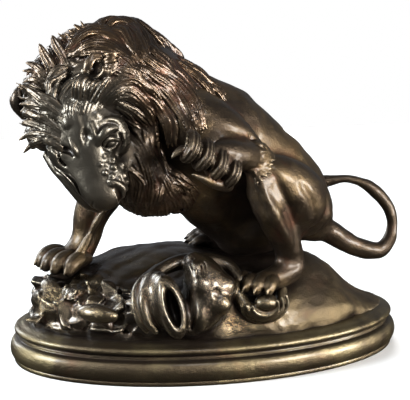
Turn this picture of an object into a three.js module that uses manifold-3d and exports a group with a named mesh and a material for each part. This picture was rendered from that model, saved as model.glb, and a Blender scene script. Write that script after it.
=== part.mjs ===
// A cast bronze lion that crouches with one forepaw raised over a serpent,
// on a rocky mound with a moulded oval plinth.
// Units are millimetres and +Z is up. The origin is the centre of the plinth's
// underside, the plinth's long axis is X, and the lion faces -X.

import * as THREE from 'three';
import { mergeVertices } from 'three/addons/utils/BufferGeometryUtils.js';
import Module from 'manifold-3d';

const wasm = await Module();
wasm.setup();

// Driving dimensions of the plinth and the mound.
const PLINTH_LENGTH = 380;
const PLINTH_WIDTH = 196;
const LEDGE_HEIGHT = 39.5;
const LEDGE_INSET = 19;
const MOUND_HEIGHT = 74;
const RIDGE_RISE = 25;
const TAIL_END_FALL = 25;
const STEEP_EDGE = 0.17;
const SOFT_EDGE = 0.7;

// Half sizes of the plinth's rim and of the line where the mound meets the ledge.
const RIM = { x: PLINTH_LENGTH / 2, y: PLINTH_WIDTH / 2 };
const CONTACT = { x: RIM.x - LEDGE_INSET, y: RIM.y - LEDGE_INSET };

// The gap between the lion's feet and the mound that they are fitted to.
const FOOT_GAP = 0.3;

// Vertices closer than this are one vertex.
const WELD = 1e-4;

const BRONZE = { color: 0x3d3320, roughness: 0.32, metalness: 1.0 };
const BASE_BRONZE = { color: 0x453b22, roughness: 0.36, metalness: 1.0 };

/** Returns a point or direction in the part's frame. */
function at(x, y, z) {
  return new THREE.Vector3(x, y, z);
}

/** Returns a curve value that rises smoothly from 0 to 1 between two bounds. */
function ease(value, low, high) {
  return THREE.MathUtils.smoothstep(value, low, high);
}

/** Returns a round bump of height 1 at the centre, fading with distance. */
function bump(dx, dy) {
  return Math.exp(-dx * dx - dy * dy);
}

/** Turns a closed three.js geometry into a solid that can be joined and cut. */
function toSolid(geometry) {
  const bare = geometry.clone();
  bare.deleteAttribute('normal');
  bare.deleteAttribute('uv');
  const welded = mergeVertices(bare, WELD);
  const index = welded.index.array;
  const kept = [];
  for (let i = 0; i < index.length; i += 3) {
    const [a, b, c] = [index[i], index[i + 1], index[i + 2]];
    if (a !== b && b !== c && c !== a) kept.push(a, b, c);
  }
  return new wasm.Manifold(new wasm.Mesh({
    numProp: 3,
    vertProperties: Float32Array.from(welded.attributes.position.array),
    triVerts: Uint32Array.from(kept),
  }));
}

/** Turns a solid back into a three.js geometry. */
function toGeometry(solid) {
  const mesh = solid.getMesh();
  const geometry = new THREE.BufferGeometry();
  const position = new THREE.BufferAttribute(mesh.vertProperties, mesh.numProp);
  geometry.setAttribute('position', position);
  geometry.setIndex(new THREE.BufferAttribute(mesh.triVerts, 1));
  return geometry;
}

/** Joins a list of solids into one. */
function join(solids) {
  return solids.reduce((whole, piece) => whole.add(piece));
}

/** Interpolates one number of the stations smoothly, for u from 0 to 1. */
function smoothValue(values, u) {
  const line = new THREE.SplineCurve(values.map((value) => new THREE.Vector2(value, 0)));
  return line.getPoint(u).x;
}

/**
 * Carries a frame along a curve without twist.
 * Each frame has a centre, the direction of travel and two directions across.
 */
function framesAlong(curve, steps, across) {
  const frames = [];
  let side = across.clone();
  for (let i = 0; i <= steps; i += 1) {
    const u = i / steps;
    const ahead = curve.getTangent(u);
    side = side.clone().addScaledVector(ahead, -side.dot(ahead)).normalize();
    const other = side.clone().cross(ahead);
    frames.push({ u, centre: curve.getPoint(u), ahead, side, other });
  }
  return frames;
}

/**
 * A round-ended limb along a smooth curve through stations [x, y, z, radius].
 * It is a capsule whose rings are carried along the curve. `squash` thins it
 * in the direction `across`.
 */
function limb(stations, options = {}) {
  const { sides = 12, steps = 2 * stations.length, ends = 2 } = options;
  const { squash = 1, across = at(0, 1, 0) } = options;
  const curve = new THREE.CatmullRomCurve3(stations.map(([x, y, z]) => at(x, y, z)));
  const radii = stations.map((station) => station[3]);
  const frames = framesAlong(curve, steps, across);
  const geometry = new THREE.CapsuleGeometry(1, 2, ends, sides, steps);
  const position = geometry.attributes.position;
  for (let i = 0; i < position.count; i += 1) {
    const along = THREE.MathUtils.clamp(position.getY(i), -1, 1);
    const beyond = position.getY(i) - along;
    const frame = frames[Math.round((along + 1) / 2 * steps)];
    const radius = smoothValue(radii, frame.u);
    const point = frame.centre.clone()
      .addScaledVector(frame.ahead, beyond * radius)
      .addScaledVector(frame.side, position.getX(i) * radius * squash)
      .addScaledVector(frame.other, position.getZ(i) * radius);
    position.setXYZ(i, point.x, point.y, point.z);
  }
  return toSolid(geometry);
}

/** An egg-shaped mass with its three half sizes along the given directions. */
function mass(centre, halfSizes, axes, detail = 12) {
  const geometry = new THREE.SphereGeometry(1, detail, Math.round(detail * 0.6));
  const [a, b, c] = halfSizes;
  const place = new THREE.Matrix4().makeBasis(
    axes[0].clone().multiplyScalar(a),
    axes[1].clone().multiplyScalar(b),
    axes[2].clone().multiplyScalar(c),
  ).setPosition(centre);
  return toSolid(geometry.applyMatrix4(place));
}

const UPRIGHT = [at(1, 0, 0), at(0, 1, 0), at(0, 0, 1)];

// The mound: a height for each point of the plan.

/** Returns the height of the mound before it falls to the ledge. */
function crownHeight(x, y) {
  const ridge = RIDGE_RISE * bump((x + 38) / 80, (y - 24) / 60);
  const rump = 10 * bump((x - 92) / 36, (y - 12) / 50);
  const shelf = 4 * bump((x + 150) / 30, y / 50);
  const fall = TAIL_END_FALL * ease(x, 118, CONTACT.x);
  return MOUND_HEIGHT + ridge + rump + shelf - fall;
}

/** Returns the mound's height, with a steep side and a soft slope at the tail end. */
function moundHeight(x, y) {
  const reach = Math.hypot(x / CONTACT.x, y / CONTACT.y);
  const edge = THREE.MathUtils.lerp(STEEP_EDGE, SOFT_EDGE, ease(x, 30, 120));
  const rise = Math.sqrt(THREE.MathUtils.clamp((1 - reach) / edge, 0, 1));
  return LEDGE_HEIGHT + (crownHeight(x, y) - LEDGE_HEIGHT) * ease(rise, -0.4, 1);
}

// The base: the plinth's mouldings and the mound as one lathe, made oval.

const BASE_SIDES = 40;
const MOUND_RINGS = [0.97, 0.92, 0.84, 0.72, 0.54, 0.28];

/** Returns the plinth's profile as insets from the rim and heights. */
function plinthProfile() {
  const foot = [[4, 0]];
  const torus = arcOf(6.2, 13.5, 6.6, 10.5, -60, 60, 4);
  const neck = [[9, 25], [9.4, 28]];
  const lip = arcOf(9.4, 32.4, 5.2, 4, -55, 62, 3);
  const ledge = [[14, LEDGE_HEIGHT]];
  return [...foot, ...torus, ...neck, ...lip, ...ledge];
}

/** Returns points on an arc that bulges outwards, as insets and heights. */
function arcOf(inset, height, depth, halfHeight, from, to, count) {
  const points = [];
  for (let i = 0; i < count; i += 1) {
    const angle = THREE.MathUtils.degToRad(from + (to - from) * i / (count - 1));
    points.push([inset - depth * Math.cos(angle), height + halfHeight * Math.sin(angle)]);
  }
  return points;
}

/** The plinth and mound, without what lies on them. */
function plinthAndMound() {
  const profile = [new THREE.Vector2(0, 0)];
  for (const [inset, height] of plinthProfile()) {
    profile.push(new THREE.Vector2(RIM.x - inset, height));
  }
  profile.push(new THREE.Vector2(CONTACT.x, LEDGE_HEIGHT));
  for (const ring of MOUND_RINGS) {
    profile.push(new THREE.Vector2(CONTACT.x * ring, LEDGE_HEIGHT + 1));
  }
  profile.push(new THREE.Vector2(0, LEDGE_HEIGHT + 1));
  const geometry = new THREE.LatheGeometry(profile, BASE_SIDES);
  geometry.rotateX(Math.PI / 2);
  const position = geometry.attributes.position;
  for (let i = 0; i < position.count; i += 1) {
    const radius = Math.hypot(position.getX(i), position.getY(i));
    const angle = Math.atan2(position.getY(i), position.getX(i));
    const moulded = radius > CONTACT.x - WELD;
    const across = moulded ? RIM.y - RIM.x + radius : radius * CONTACT.y / CONTACT.x;
    const x = Math.cos(angle) * radius;
    const y = Math.sin(angle) * across;
    const onMound = position.getZ(i) > LEDGE_HEIGHT + 0.5;
    position.setXYZ(i, x, y, onMound ? moundHeight(x, y) : position.getZ(i));
  }
  return toSolid(geometry);
}

/** Broken rocks along the front of the mound at the head end. */
function rocks() {
  const solids = [];
  const count = 9;
  for (let i = 0; i < count; i += 1) {
    const turn = THREE.MathUtils.degToRad(172 + 10 * i);
    const size = 18 + 4 * Math.sin(i * 2.4);
    const x = Math.cos(turn) * (CONTACT.x - 11);
    const y = Math.sin(turn) * (CONTACT.y - 11);
    const stone = new THREE.IcosahedronGeometry(1, 0);
    stone.scale(size, size * 0.7, size * 0.8);
    stone.rotateZ(i * 1.3);
    stone.rotateX(0.4 * Math.sin(i * 1.9));
    stone.translate(x, y, 60 + 6 * Math.sin(i * 1.7));
    solids.push(toSolid(stone));
  }
  return solids;
}

/** The serpent: a gaping head in the front hollow, a coil and a trailing body. */
function serpent() {
  const round = { sides: 6, ends: 1 };
  const lowerJaw = limb([
    [-57, -68, 106, 5], [-61, -72, 90, 11], [-55, -76, 70, 13], [-42, -77, 54, 9],
  ], { ...round, steps: 5 });
  const mouth = mass(at(-47, -90, 80), [9, 11, 22], UPRIGHT, 8);
  const skull = limb([
    [-22, -58, 108, 8], [-19, -66, 97, 15], [-10, -71, 80, 18], [-20, -75, 62, 14], [-34, -77, 50, 8],
  ], { sides: 8, steps: 6 });
  const arch = limb([
    [-74, -68, 82, 5], [-80, -58, 94, 7], [-54, -44, 102, 8], [-18, -37, 103, 8], [10, -44, 99, 7],
    [20, -58, 88, 6],
  ], { ...round, steps: 8 });
  const coil = limb([
    [14, -64, 84, 6], [22, -76, 68, 6.5], [38, -79, 59, 6.5], [54, -75, 65, 6], [60, -62, 76, 5],
  ], { ...round, steps: 8 });
  const knot = mass(at(41, -75, 73), [11, 8, 8], UPRIGHT, 8);
  const tail = limb([
    [60, -58, 72, 7], [92, -50, 66, 8], [118, -22, 68, 8.5], [116, 22, 69, 8.5], [82, 52, 70, 8],
    [36, 64, 74, 7], [-12, 66, 72, 5.5], [-48, 68, 66, 4],
  ], { ...round, sides: 5, steps: 13 });
  return [lowerJaw.subtract(mouth), skull, arch, coil, knot, tail];
}

/** The hollow in the front of the mound in which the serpent's head lies. */
function hollow() {
  return mass(at(-32, -78, 80), [40, 30, 30], UPRIGHT, 11);
}

/** The whole base casting. */
function makeBase() {
  const mound = join([plinthAndMound(), ...rocks()]).subtract(hollow());
  return join([mound, ...serpent()]);
}

// The lion's trunk, legs and tail. Each limb is a few stations of
// [x, y, z, radius] from its root to its end.

function trunk() {
  const barrel = limb([
    [-44, -6, 220, 40], [-18, -4, 216, 50], [14, 0, 206, 50], [44, 4, 187, 44],
    [70, 4, 163, 42], [93, 0, 138, 31], [106, -4, 121, 18],
  ], { sides: 10, steps: 6, ends: 1, squash: 0.82 });
  const withers = limb([
    [-46, 0, 256, 27], [-16, 2, 250, 26], [16, 3, 234, 26],
  ], { sides: 8, steps: 3, ends: 1, squash: 0.8 });
  const belly = limb([
    [-34, -8, 178, 28], [0, 4, 166, 30], [40, 12, 146, 28],
  ], { sides: 8, steps: 3, ends: 1 });
  return [barrel, withers, belly];
}

function legs() {
  const farFore = limb([
    [-72, 18, 212, 32], [-90, 24, 168, 23], [-107, 27, 136, 18], [-114, 27, 108, 15],
    [-122, 24, 93, 15], [-138, 17, 88, 14],
  ], { sides: 8, steps: 7, ends: 1 });
  const nearFore = limb([
    [-20, -32, 232, 34], [8, -47, 219, 27], [27, -52, 204, 19], [18, -70, 206, 17],
    [4, -86, 212, 16], [-8, -94, 213, 16],
  ], { sides: 8, steps: 8, ends: 1 });
  const nearHaunch = limb([
    [89, -28, 146, 28], [72, -40, 164, 31], [47, -52, 182, 21], [50, -54, 158, 20],
    [64, -51, 126, 16], [72, -47, 104, 14.5], [70, -49, 94, 12],
  ], { sides: 8, steps: 8, ends: 1 });
  const nearFoot = limb([[74, -47, 92, 12], [56, -57, 88, 13], [40, -64, 86, 13]], { sides: 7, steps: 2, ends: 1 });
  const farHaunch = limb([
    [88, 28, 146, 28], [58, 40, 150, 37], [22, 46, 144, 29], [12, 48, 130, 22],
    [34, 48, 115, 20], [56, 47, 108, 17],
  ], { sides: 8, steps: 6, ends: 1 });
  const farFoot = limb([[54, 46, 105, 14], [26, 46, 102, 13], [6, 45, 100, 12]], { sides: 7, steps: 2, ends: 1 });
  return [farFore, nearFore, nearHaunch, nearFoot, farHaunch, farFoot];
}

/** Four toes side by side, fanned across a paw. */
function toes(centre, forward, across, size) {
  const solids = [];
  for (let i = 0; i < 4; i += 1) {
    const off = i - 1.5;
    const knuckle = centre.clone()
      .addScaledVector(across, off * size * 1.4)
      .addScaledVector(forward, -Math.abs(off) * size * 0.25);
    const tip = knuckle.clone().addScaledVector(forward, size);
    tip.z -= size * 0.5;
    solids.push(limb([
      [...knuckle.toArray(), size], [...tip.toArray(), size * 0.85],
    ], { sides: 5, steps: 1, ends: 1 }));
  }
  return solids;
}

function paws() {
  return [
    ...toes(at(-141, 13, 89), at(-0.72, -0.69, 0), at(0.69, -0.72, 0), 9),
    ...toes(at(33, -67, 85), at(-0.6, -0.8, 0), at(0.8, -0.6, 0), 7.5),
    ...toes(at(-2, 44, 99), at(-0.98, -0.2, 0), at(0.2, -0.98, 0), 8),
    ...toes(at(-13, -103, 213), at(-0.15, -0.85, -0.35), at(0.93, 0.2, -0.3), 10.5),
  ];
}

function tail() {
  return limb([
    [104, -2, 122, 14], [124, 0, 110, 12.5], [142, 3, 98, 11], [161, 6, 89, 9.5], [180, 9, 87, 8.2],
    [191, 11, 104, 7.2], [187, 14, 128, 6.6], [168, 18, 150, 5.8], [146, 22, 158, 5.2],
    [126, 28, 155, 6], [104, 36, 149, 8.5], [84, 42, 146, 5],
  ], { sides: 6, steps: 18, ends: 1 });
}

// The head, in its own frame: ahead to the nose, left, and up through the brow.

const HEAD_TILT = THREE.MathUtils.degToRad(14);
const HEAD_PITCH = THREE.MathUtils.degToRad(14);
const BETWEEN_EYES = at(-116, -66, 224);

const headLeft = at(Math.cos(HEAD_TILT), 0, Math.sin(HEAD_TILT));
const headAhead = at(Math.sin(HEAD_TILT), 0, -Math.cos(HEAD_TILT))
  .multiplyScalar(Math.cos(HEAD_PITCH))
  .add(at(0, -Math.sin(HEAD_PITCH), 0));
const headUp = headAhead.clone().cross(headLeft);
const HEAD_AXES = [headAhead, headLeft, headUp];

/** Returns a place in the head's own frame. */
function inHead(ahead, left, up) {
  return BETWEEN_EYES.clone()
    .addScaledVector(headAhead, ahead)
    .addScaledVector(headLeft, left)
    .addScaledVector(headUp, up);
}

/** A limb whose stations are [ahead, left, up, radius] in the head's frame. */
function headLimb(stations, options = {}) {
  const placed = stations.map(([f, l, u, r]) => [...inHead(f, l, u).toArray(), r]);
  return limb(placed, { across: headUp, ...options });
}

function head() {
  const solids = [
    mass(inHead(-18, 0, -24), [34, 37, 27], HEAD_AXES, 10),
    headLimb([[-16, 0, -3, 19], [10, 0, 1, 14], [34, 0, 1, 13], [46, 0, -2, 11]],
      { sides: 8, steps: 4, ends: 1, squash: 0.62 }),
    headLimb([[4, 0, -20, 26], [28, 0, -16, 21], [42, 0, -14, 17]], { sides: 9, steps: 2, ends: 1, squash: 0.85 }),
    headLimb([[4, 0, -38, 18], [30, 0, -34, 14], [47, 0, -27, 11]], { sides: 8, steps: 3, ends: 1 }),
    mass(inHead(51, 0, 1), [6, 12, 6], HEAD_AXES, 6),
  ];
  for (const side of [-1, 1]) {
    solids.push(
      headLimb([[-7, side * 6, 5, 6], [-8, side * 18, 6, 7], [-1, side * 26, -3, 5]],
        { sides: 6, steps: 2, ends: 1 }),
      mass(inHead(2, side * 26, -17), [20, 11, 14], HEAD_AXES, 6),
      mass(inHead(40, side * 12, -6), [14, 12.5, 12], HEAD_AXES, 6),
    );
  }
  return solids;
}

/** A cupped ear whose back points along `out`. */
function ear(centre, out) {
  const side = out.clone().cross(headUp).normalize();
  const facing = side.clone().cross(out);
  const axes = [side, out, facing];
  const shell = mass(centre, [12, 14, 8], axes, 7);
  const cup = mass(centre.clone().addScaledVector(facing, 6).addScaledVector(out, -2), [8, 9, 6], axes, 6);
  return shell.subtract(cup);
}

function ears() {
  return [
    ear(at(-98, -38, 286), at(0.5, -0.3, 0.8).normalize()),
    ear(at(-164, -18, 258), at(-0.95, -0.1, 0.3).normalize()),
  ];
}

// The mane: a body of hair under rows of pointed locks. A row runs from one
// guide strand to another, each strand from its root to its tip.

const HAIR = {
  neck: [
    [-110, -24, 256, 33], [-96, -22, 268, 38], [-74, -14, 269, 41], [-50, -8, 253, 41],
    [-28, -6, 236, 41], [-12, -4, 220, 40],
  ],
  crest: [[-112, -14, 290, 22], [-92, -10, 299, 25], [-70, -8, 296, 22], [-50, -6, 282, 16]],
  farCheek: [[-122, -8, 282, 25], [-140, -10, 262, 25], [-146, -20, 228, 18]],
  chest: [[-82, -30, 200, 30], [-62, -26, 178, 28], [-44, -18, 170, 24], [-18, -8, 168, 18]],
};

const MANE_ROWS = [
  { name: 'fringe', locks: 5, girth: 9,
    first: [[-144, -64, 249], [-142, -62, 264], [-128, -54, 278], [-110, -42, 287]],
    last: [[-96, -68, 251], [-87, -66, 263], [-77, -58, 273], [-66, -48, 280]] },
  { name: 'near cheek', locks: 3, girth: 10,
    first: [[-90, -66, 258], [-73, -64, 251], [-61, -58, 230], [-61, -50, 201]],
    last: [[-84, -60, 272], [-55, -56, 262], [-38, -48, 238], [-34, -40, 207]] },
  { name: 'near shoulder', locks: 3, girth: 10,
    first: [[-82, -52, 284], [-54, -54, 274], [-26, -50, 250], [-12, -46, 222]],
    last: [[-66, -34, 298], [-36, -40, 284], [-12, -44, 263], [6, -48, 240]] },
  { name: 'crest', locks: 3, girth: 10,
    first: [[-131, -22, 295], [-113, -12, 314], [-78, -4, 320], [-56, -2, 299]],
    last: [[-110, -48, 284], [-101, -44, 296], [-81, -40, 299], [-67, -36, 288]] },
  { name: 'crest front', locks: 2, girth: 9,
    first: [[-103, 2, 316], [-121, -2, 308], [-134, -8, 293], [-139, -14, 277]],
    last: [[-102, -42, 296], [-116, -40, 292], [-128, -38, 280], [-136, -42, 264]] },
  { name: 'far top', locks: 2, girth: 9,
    first: [[-122, 2, 298], [-138, 6, 300], [-148, 8, 296]],
    last: [[-136, -6, 262], [-156, -2, 268], [-169, 2, 266]] },
  { name: 'far cheek', locks: 3, girth: 9,
    first: [[-142, -26, 252], [-160, -22, 254], [-176, -14, 252]],
    last: [[-140, -38, 216], [-157, -32, 216], [-165, -22, 208]] },
  { name: 'beard', locks: 3, girth: 11,
    first: [[-81, -56, 216], [-83, -52, 190], [-79, -46, 166], [-67, -38, 148]],
    last: [[-50, -50, 228], [-38, -44, 202], [-41, -40, 172], [-40, -34, 148]] },
  { name: 'chest', locks: 2, girth: 10,
    first: [[-53, -44, 201], [-40, -44, 188], [-28, -44, 176], [-14, -40, 167]],
    last: [[-59, -36, 171], [-50, -34, 157], [-42, -30, 148], [-30, -26, 146]] },
  { name: 'withers', locks: 2, girth: 9,
    first: [[-52, 2, 298], [-38, 4, 292], [-26, 6, 282], [-14, 8, 270]],
    last: [[-57, -22, 292], [-46, -22, 287], [-35, -20, 279], [-25, -16, 268]] },
  { name: 'back of the crest', locks: 2, girth: 12,
    first: [[-84, 8, 314], [-56, 18, 296], [-32, 24, 272], [-10, 26, 250]],
    last: [[-112, 10, 298], [-92, 26, 284], [-62, 36, 256], [-38, 38, 226]] },
  { name: 'far neck', locks: 2, girth: 12,
    first: [[-128, 4, 282], [-112, 22, 262], [-86, 36, 232], [-62, 40, 196]],
    last: [[-138, 0, 240], [-124, 12, 220], [-100, 24, 196], [-78, 22, 166]] },
];

/** Returns a strand part of the way from a row's first guide to its last. */
function strandOf(row, share) {
  return row.first.map((station, i) => station.map(
    (value, axis) => THREE.MathUtils.lerp(value, row.last[i][axis], share)));
}

/** Returns a lock's thickness from root to tip, as a share of its girth. */
function lockTaper(t) {
  return 0.28 + 0.72 * Math.sin(Math.PI * (0.3 + 0.66 * t));
}

function mane() {
  const solids = Object.values(HAIR).map((stations) => (
    limb(stations, { sides: 7, steps: stations.length, ends: 1 })));
  for (const row of MANE_ROWS) {
    for (let i = 0; i < row.locks; i += 1) {
      const strand = strandOf(row, i / (row.locks - 1));
      const stations = strand.map((point, k) => (
        [...point, row.girth * lockTaper(k / (strand.length - 1))]));
      solids.push(limb(stations, { sides: 5, steps: 3, ends: 1 }));
    }
  }
  return solids;
}

/** The tuft of hair at the raised elbow. */
function elbowTuft() {
  return limb([[20, -51, 214, 12], [34, -54, 204, 10], [44, -51, 194, 4]], { sides: 6, steps: 2, ends: 1 });
}

/** The base moved a hair to each side and up, which keeps the feet clear of it. */
function footCutter(base) {
  const moves = [at(0, 0, 1), at(1, 0, 0), at(-1, 0, 0), at(0, 1, 0), at(0, -1, 0)];
  return join(moves.map((move) => {
    const step = move.multiplyScalar(FOOT_GAP);
    return toSolid(toGeometry(base).translate(step.x, step.y, step.z));
  }));
}

/** The whole lion, with its feet cut to the mound. */
function makeLion(base) {
  const whole = join([
    ...trunk(), ...legs(), ...paws(), tail(), ...mane(), elbowTuft(), ...head(), ...ears(),
  ]);
  const parts = whole.subtract(footCutter(base)).decompose();
  parts.sort((a, b) => b.volume() - a.volume());
  return parts[0];
}

/** Wraps a solid as a named mesh with its own bronze. */
function toMesh(solid, name, finish) {
  const mesh = new THREE.Mesh(toGeometry(solid), new THREE.MeshStandardMaterial(finish));
  mesh.name = name;
  return mesh;
}

const baseSolid = makeBase();
const lionSolid = makeLion(baseSolid);

const group = new THREE.Group();
group.add(toMesh(baseSolid, 'base', BASE_BRONZE));
group.add(toMesh(lionSolid, 'lion', BRONZE));

export default group;
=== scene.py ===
"""Bronze sculpture: a lion crouches over a serpent on rocky ground, above an oval moulded plinth.

The sculpting classes work in millimetres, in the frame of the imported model, with the origin at the middle
of the underside, x along the plinth, z up and the viewer towards -y. Meshes reach Blender in metres.
"""
import logging
from dataclasses import dataclass, field
from enum import Enum

import bpy
import numpy as np
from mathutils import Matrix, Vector


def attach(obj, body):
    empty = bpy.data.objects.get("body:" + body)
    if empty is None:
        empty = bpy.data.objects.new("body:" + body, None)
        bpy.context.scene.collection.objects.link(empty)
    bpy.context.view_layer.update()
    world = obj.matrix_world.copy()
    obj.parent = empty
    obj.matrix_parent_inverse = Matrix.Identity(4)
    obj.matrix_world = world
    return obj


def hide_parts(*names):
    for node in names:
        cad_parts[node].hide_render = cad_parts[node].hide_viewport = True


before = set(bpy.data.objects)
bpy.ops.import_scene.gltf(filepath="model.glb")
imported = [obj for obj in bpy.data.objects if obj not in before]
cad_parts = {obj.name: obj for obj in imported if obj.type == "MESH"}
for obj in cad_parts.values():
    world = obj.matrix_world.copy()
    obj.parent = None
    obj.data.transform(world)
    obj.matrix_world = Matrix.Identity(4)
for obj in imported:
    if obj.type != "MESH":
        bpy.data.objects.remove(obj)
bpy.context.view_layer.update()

log = logging.getLogger("bronze")
Point = tuple[float, float, float]
Colour = tuple[float, float, float]
Stations = tuple[tuple[float, float, float, float], ...]
Path = Stations | np.ndarray
Window = tuple[slice, slice, slice]
MM = 0.001  # metres
TINY = 1e-9  # the least length that a vector is divided by
FAR_AWAY = 1e3  # millimetres, further out than any clay
GRADIENT_STEP = 2.0  # millimetres on either side, where fine furrows shouldn't count
PIECE_LIMIT = 190_000  # triangles
BLOCK_LIMIT = 20_000_000  # numbers in one block


# Small helpers

def unit(v: np.ndarray) -> np.ndarray:
    """Vectors divided by their own length, along the last axis."""
    v = np.asarray(v, np.float32)
    return v / np.maximum(np.linalg.norm(v, axis=-1, keepdims=True), TINY)


def ease(x: np.ndarray, low: float, high: float) -> np.ndarray:
    """Smooth step: 3t^2 - 2t^3 with t running from 0 at low to 1 at high."""
    t = np.clip((x - low) / (high - low), 0, 1)
    return t * t * (3 - 2 * t)


def through(points: np.ndarray, per_span: int) -> np.ndarray:
    """Rows of numbers carried through given rows along a Catmull-Rom curve.

    Formula: between rows b and c, with a before and d after, the value is
    half of 2b + (c-a)t + (2a-5b+4c-d)t^2 + (3b-a-3c+d)t^3.

    Args:
        points: (..., stations, numbers), the last two axes.
        per_span: new rows for each gap between stations.
    Returns:
        The finer rows, (..., finer stations, numbers).
    """
    p = np.asarray(points, np.float32)
    before = 2 * p[..., :1, :] - p[..., 1:2, :]
    after = 2 * p[..., -1:, :] - p[..., -2:-1, :]
    q = np.concatenate([before, p, after], axis=-2)[..., :, None, :]
    a, b, c, d = q[..., :-3, :, :], q[..., 1:-2, :, :], q[..., 2:-1, :, :], q[..., 3:, :, :]
    t = (np.arange(per_span, dtype=np.float32) / per_span)[:, None]
    fine = 0.5 * (2 * b + (c - a) * t + (2 * a - 5 * b + 4 * c - d) * t**2 + (3 * b - a - 3 * c + d) * t**3)
    fine = fine.reshape(*p.shape[:-2], -1, p.shape[-1])
    return np.concatenate([fine, p[..., -1:, :]], axis=-2)


def nearest(points: np.ndarray, seeds: np.ndarray) -> np.ndarray:
    """Number of the seed nearest to each point, worked out in blocks that fit in memory.

    Formula: the least |s|^2 - 2 p . s.

    Args:
        points: (points, 3).
        seeds: (seeds, 3).
    Returns:
        One number for each point.
    """
    square = (seeds * seeds).sum(1)
    blocks = np.array_split(points, max(1, len(points) * len(seeds) // BLOCK_LIMIT))
    return np.concatenate([(square - 2 * block @ seeds.T).argmin(1) for block in blocks])


def without_crumbs(points: np.ndarray, quads: np.ndarray, least: int = 400) -> tuple[np.ndarray, np.ndarray]:
    """A surface without its tiny separate shells.

    Formula: every vertex takes the least label that an edge brings it, until no edge joins two labels.

    Args:
        points: the vertices.
        quads: the faces' four corners.
        least: the fewest faces of a shell that stays.
    Returns:
        The vertices and faces that stay.
    """
    label = np.arange(len(points))
    ends = np.vstack([quads[:, k:k + 2] for k in range(3)])
    while len(ends):
        pair = np.sort(label[ends], axis=1)
        np.minimum.at(label, pair[:, 1], pair[:, 0])
        while (label[label] != label).any():
            label = label[label]
        ends = ends[label[ends[:, 0]] != label[ends[:, 1]]]
    owner = label[quads[:, 0]]
    stays = quads[np.bincount(owner, minlength=len(points))[owner] >= least]
    kept, number = np.unique(stays, return_inverse=True)
    return points[kept], number.reshape(-1, 4)


# Sculpting

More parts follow.
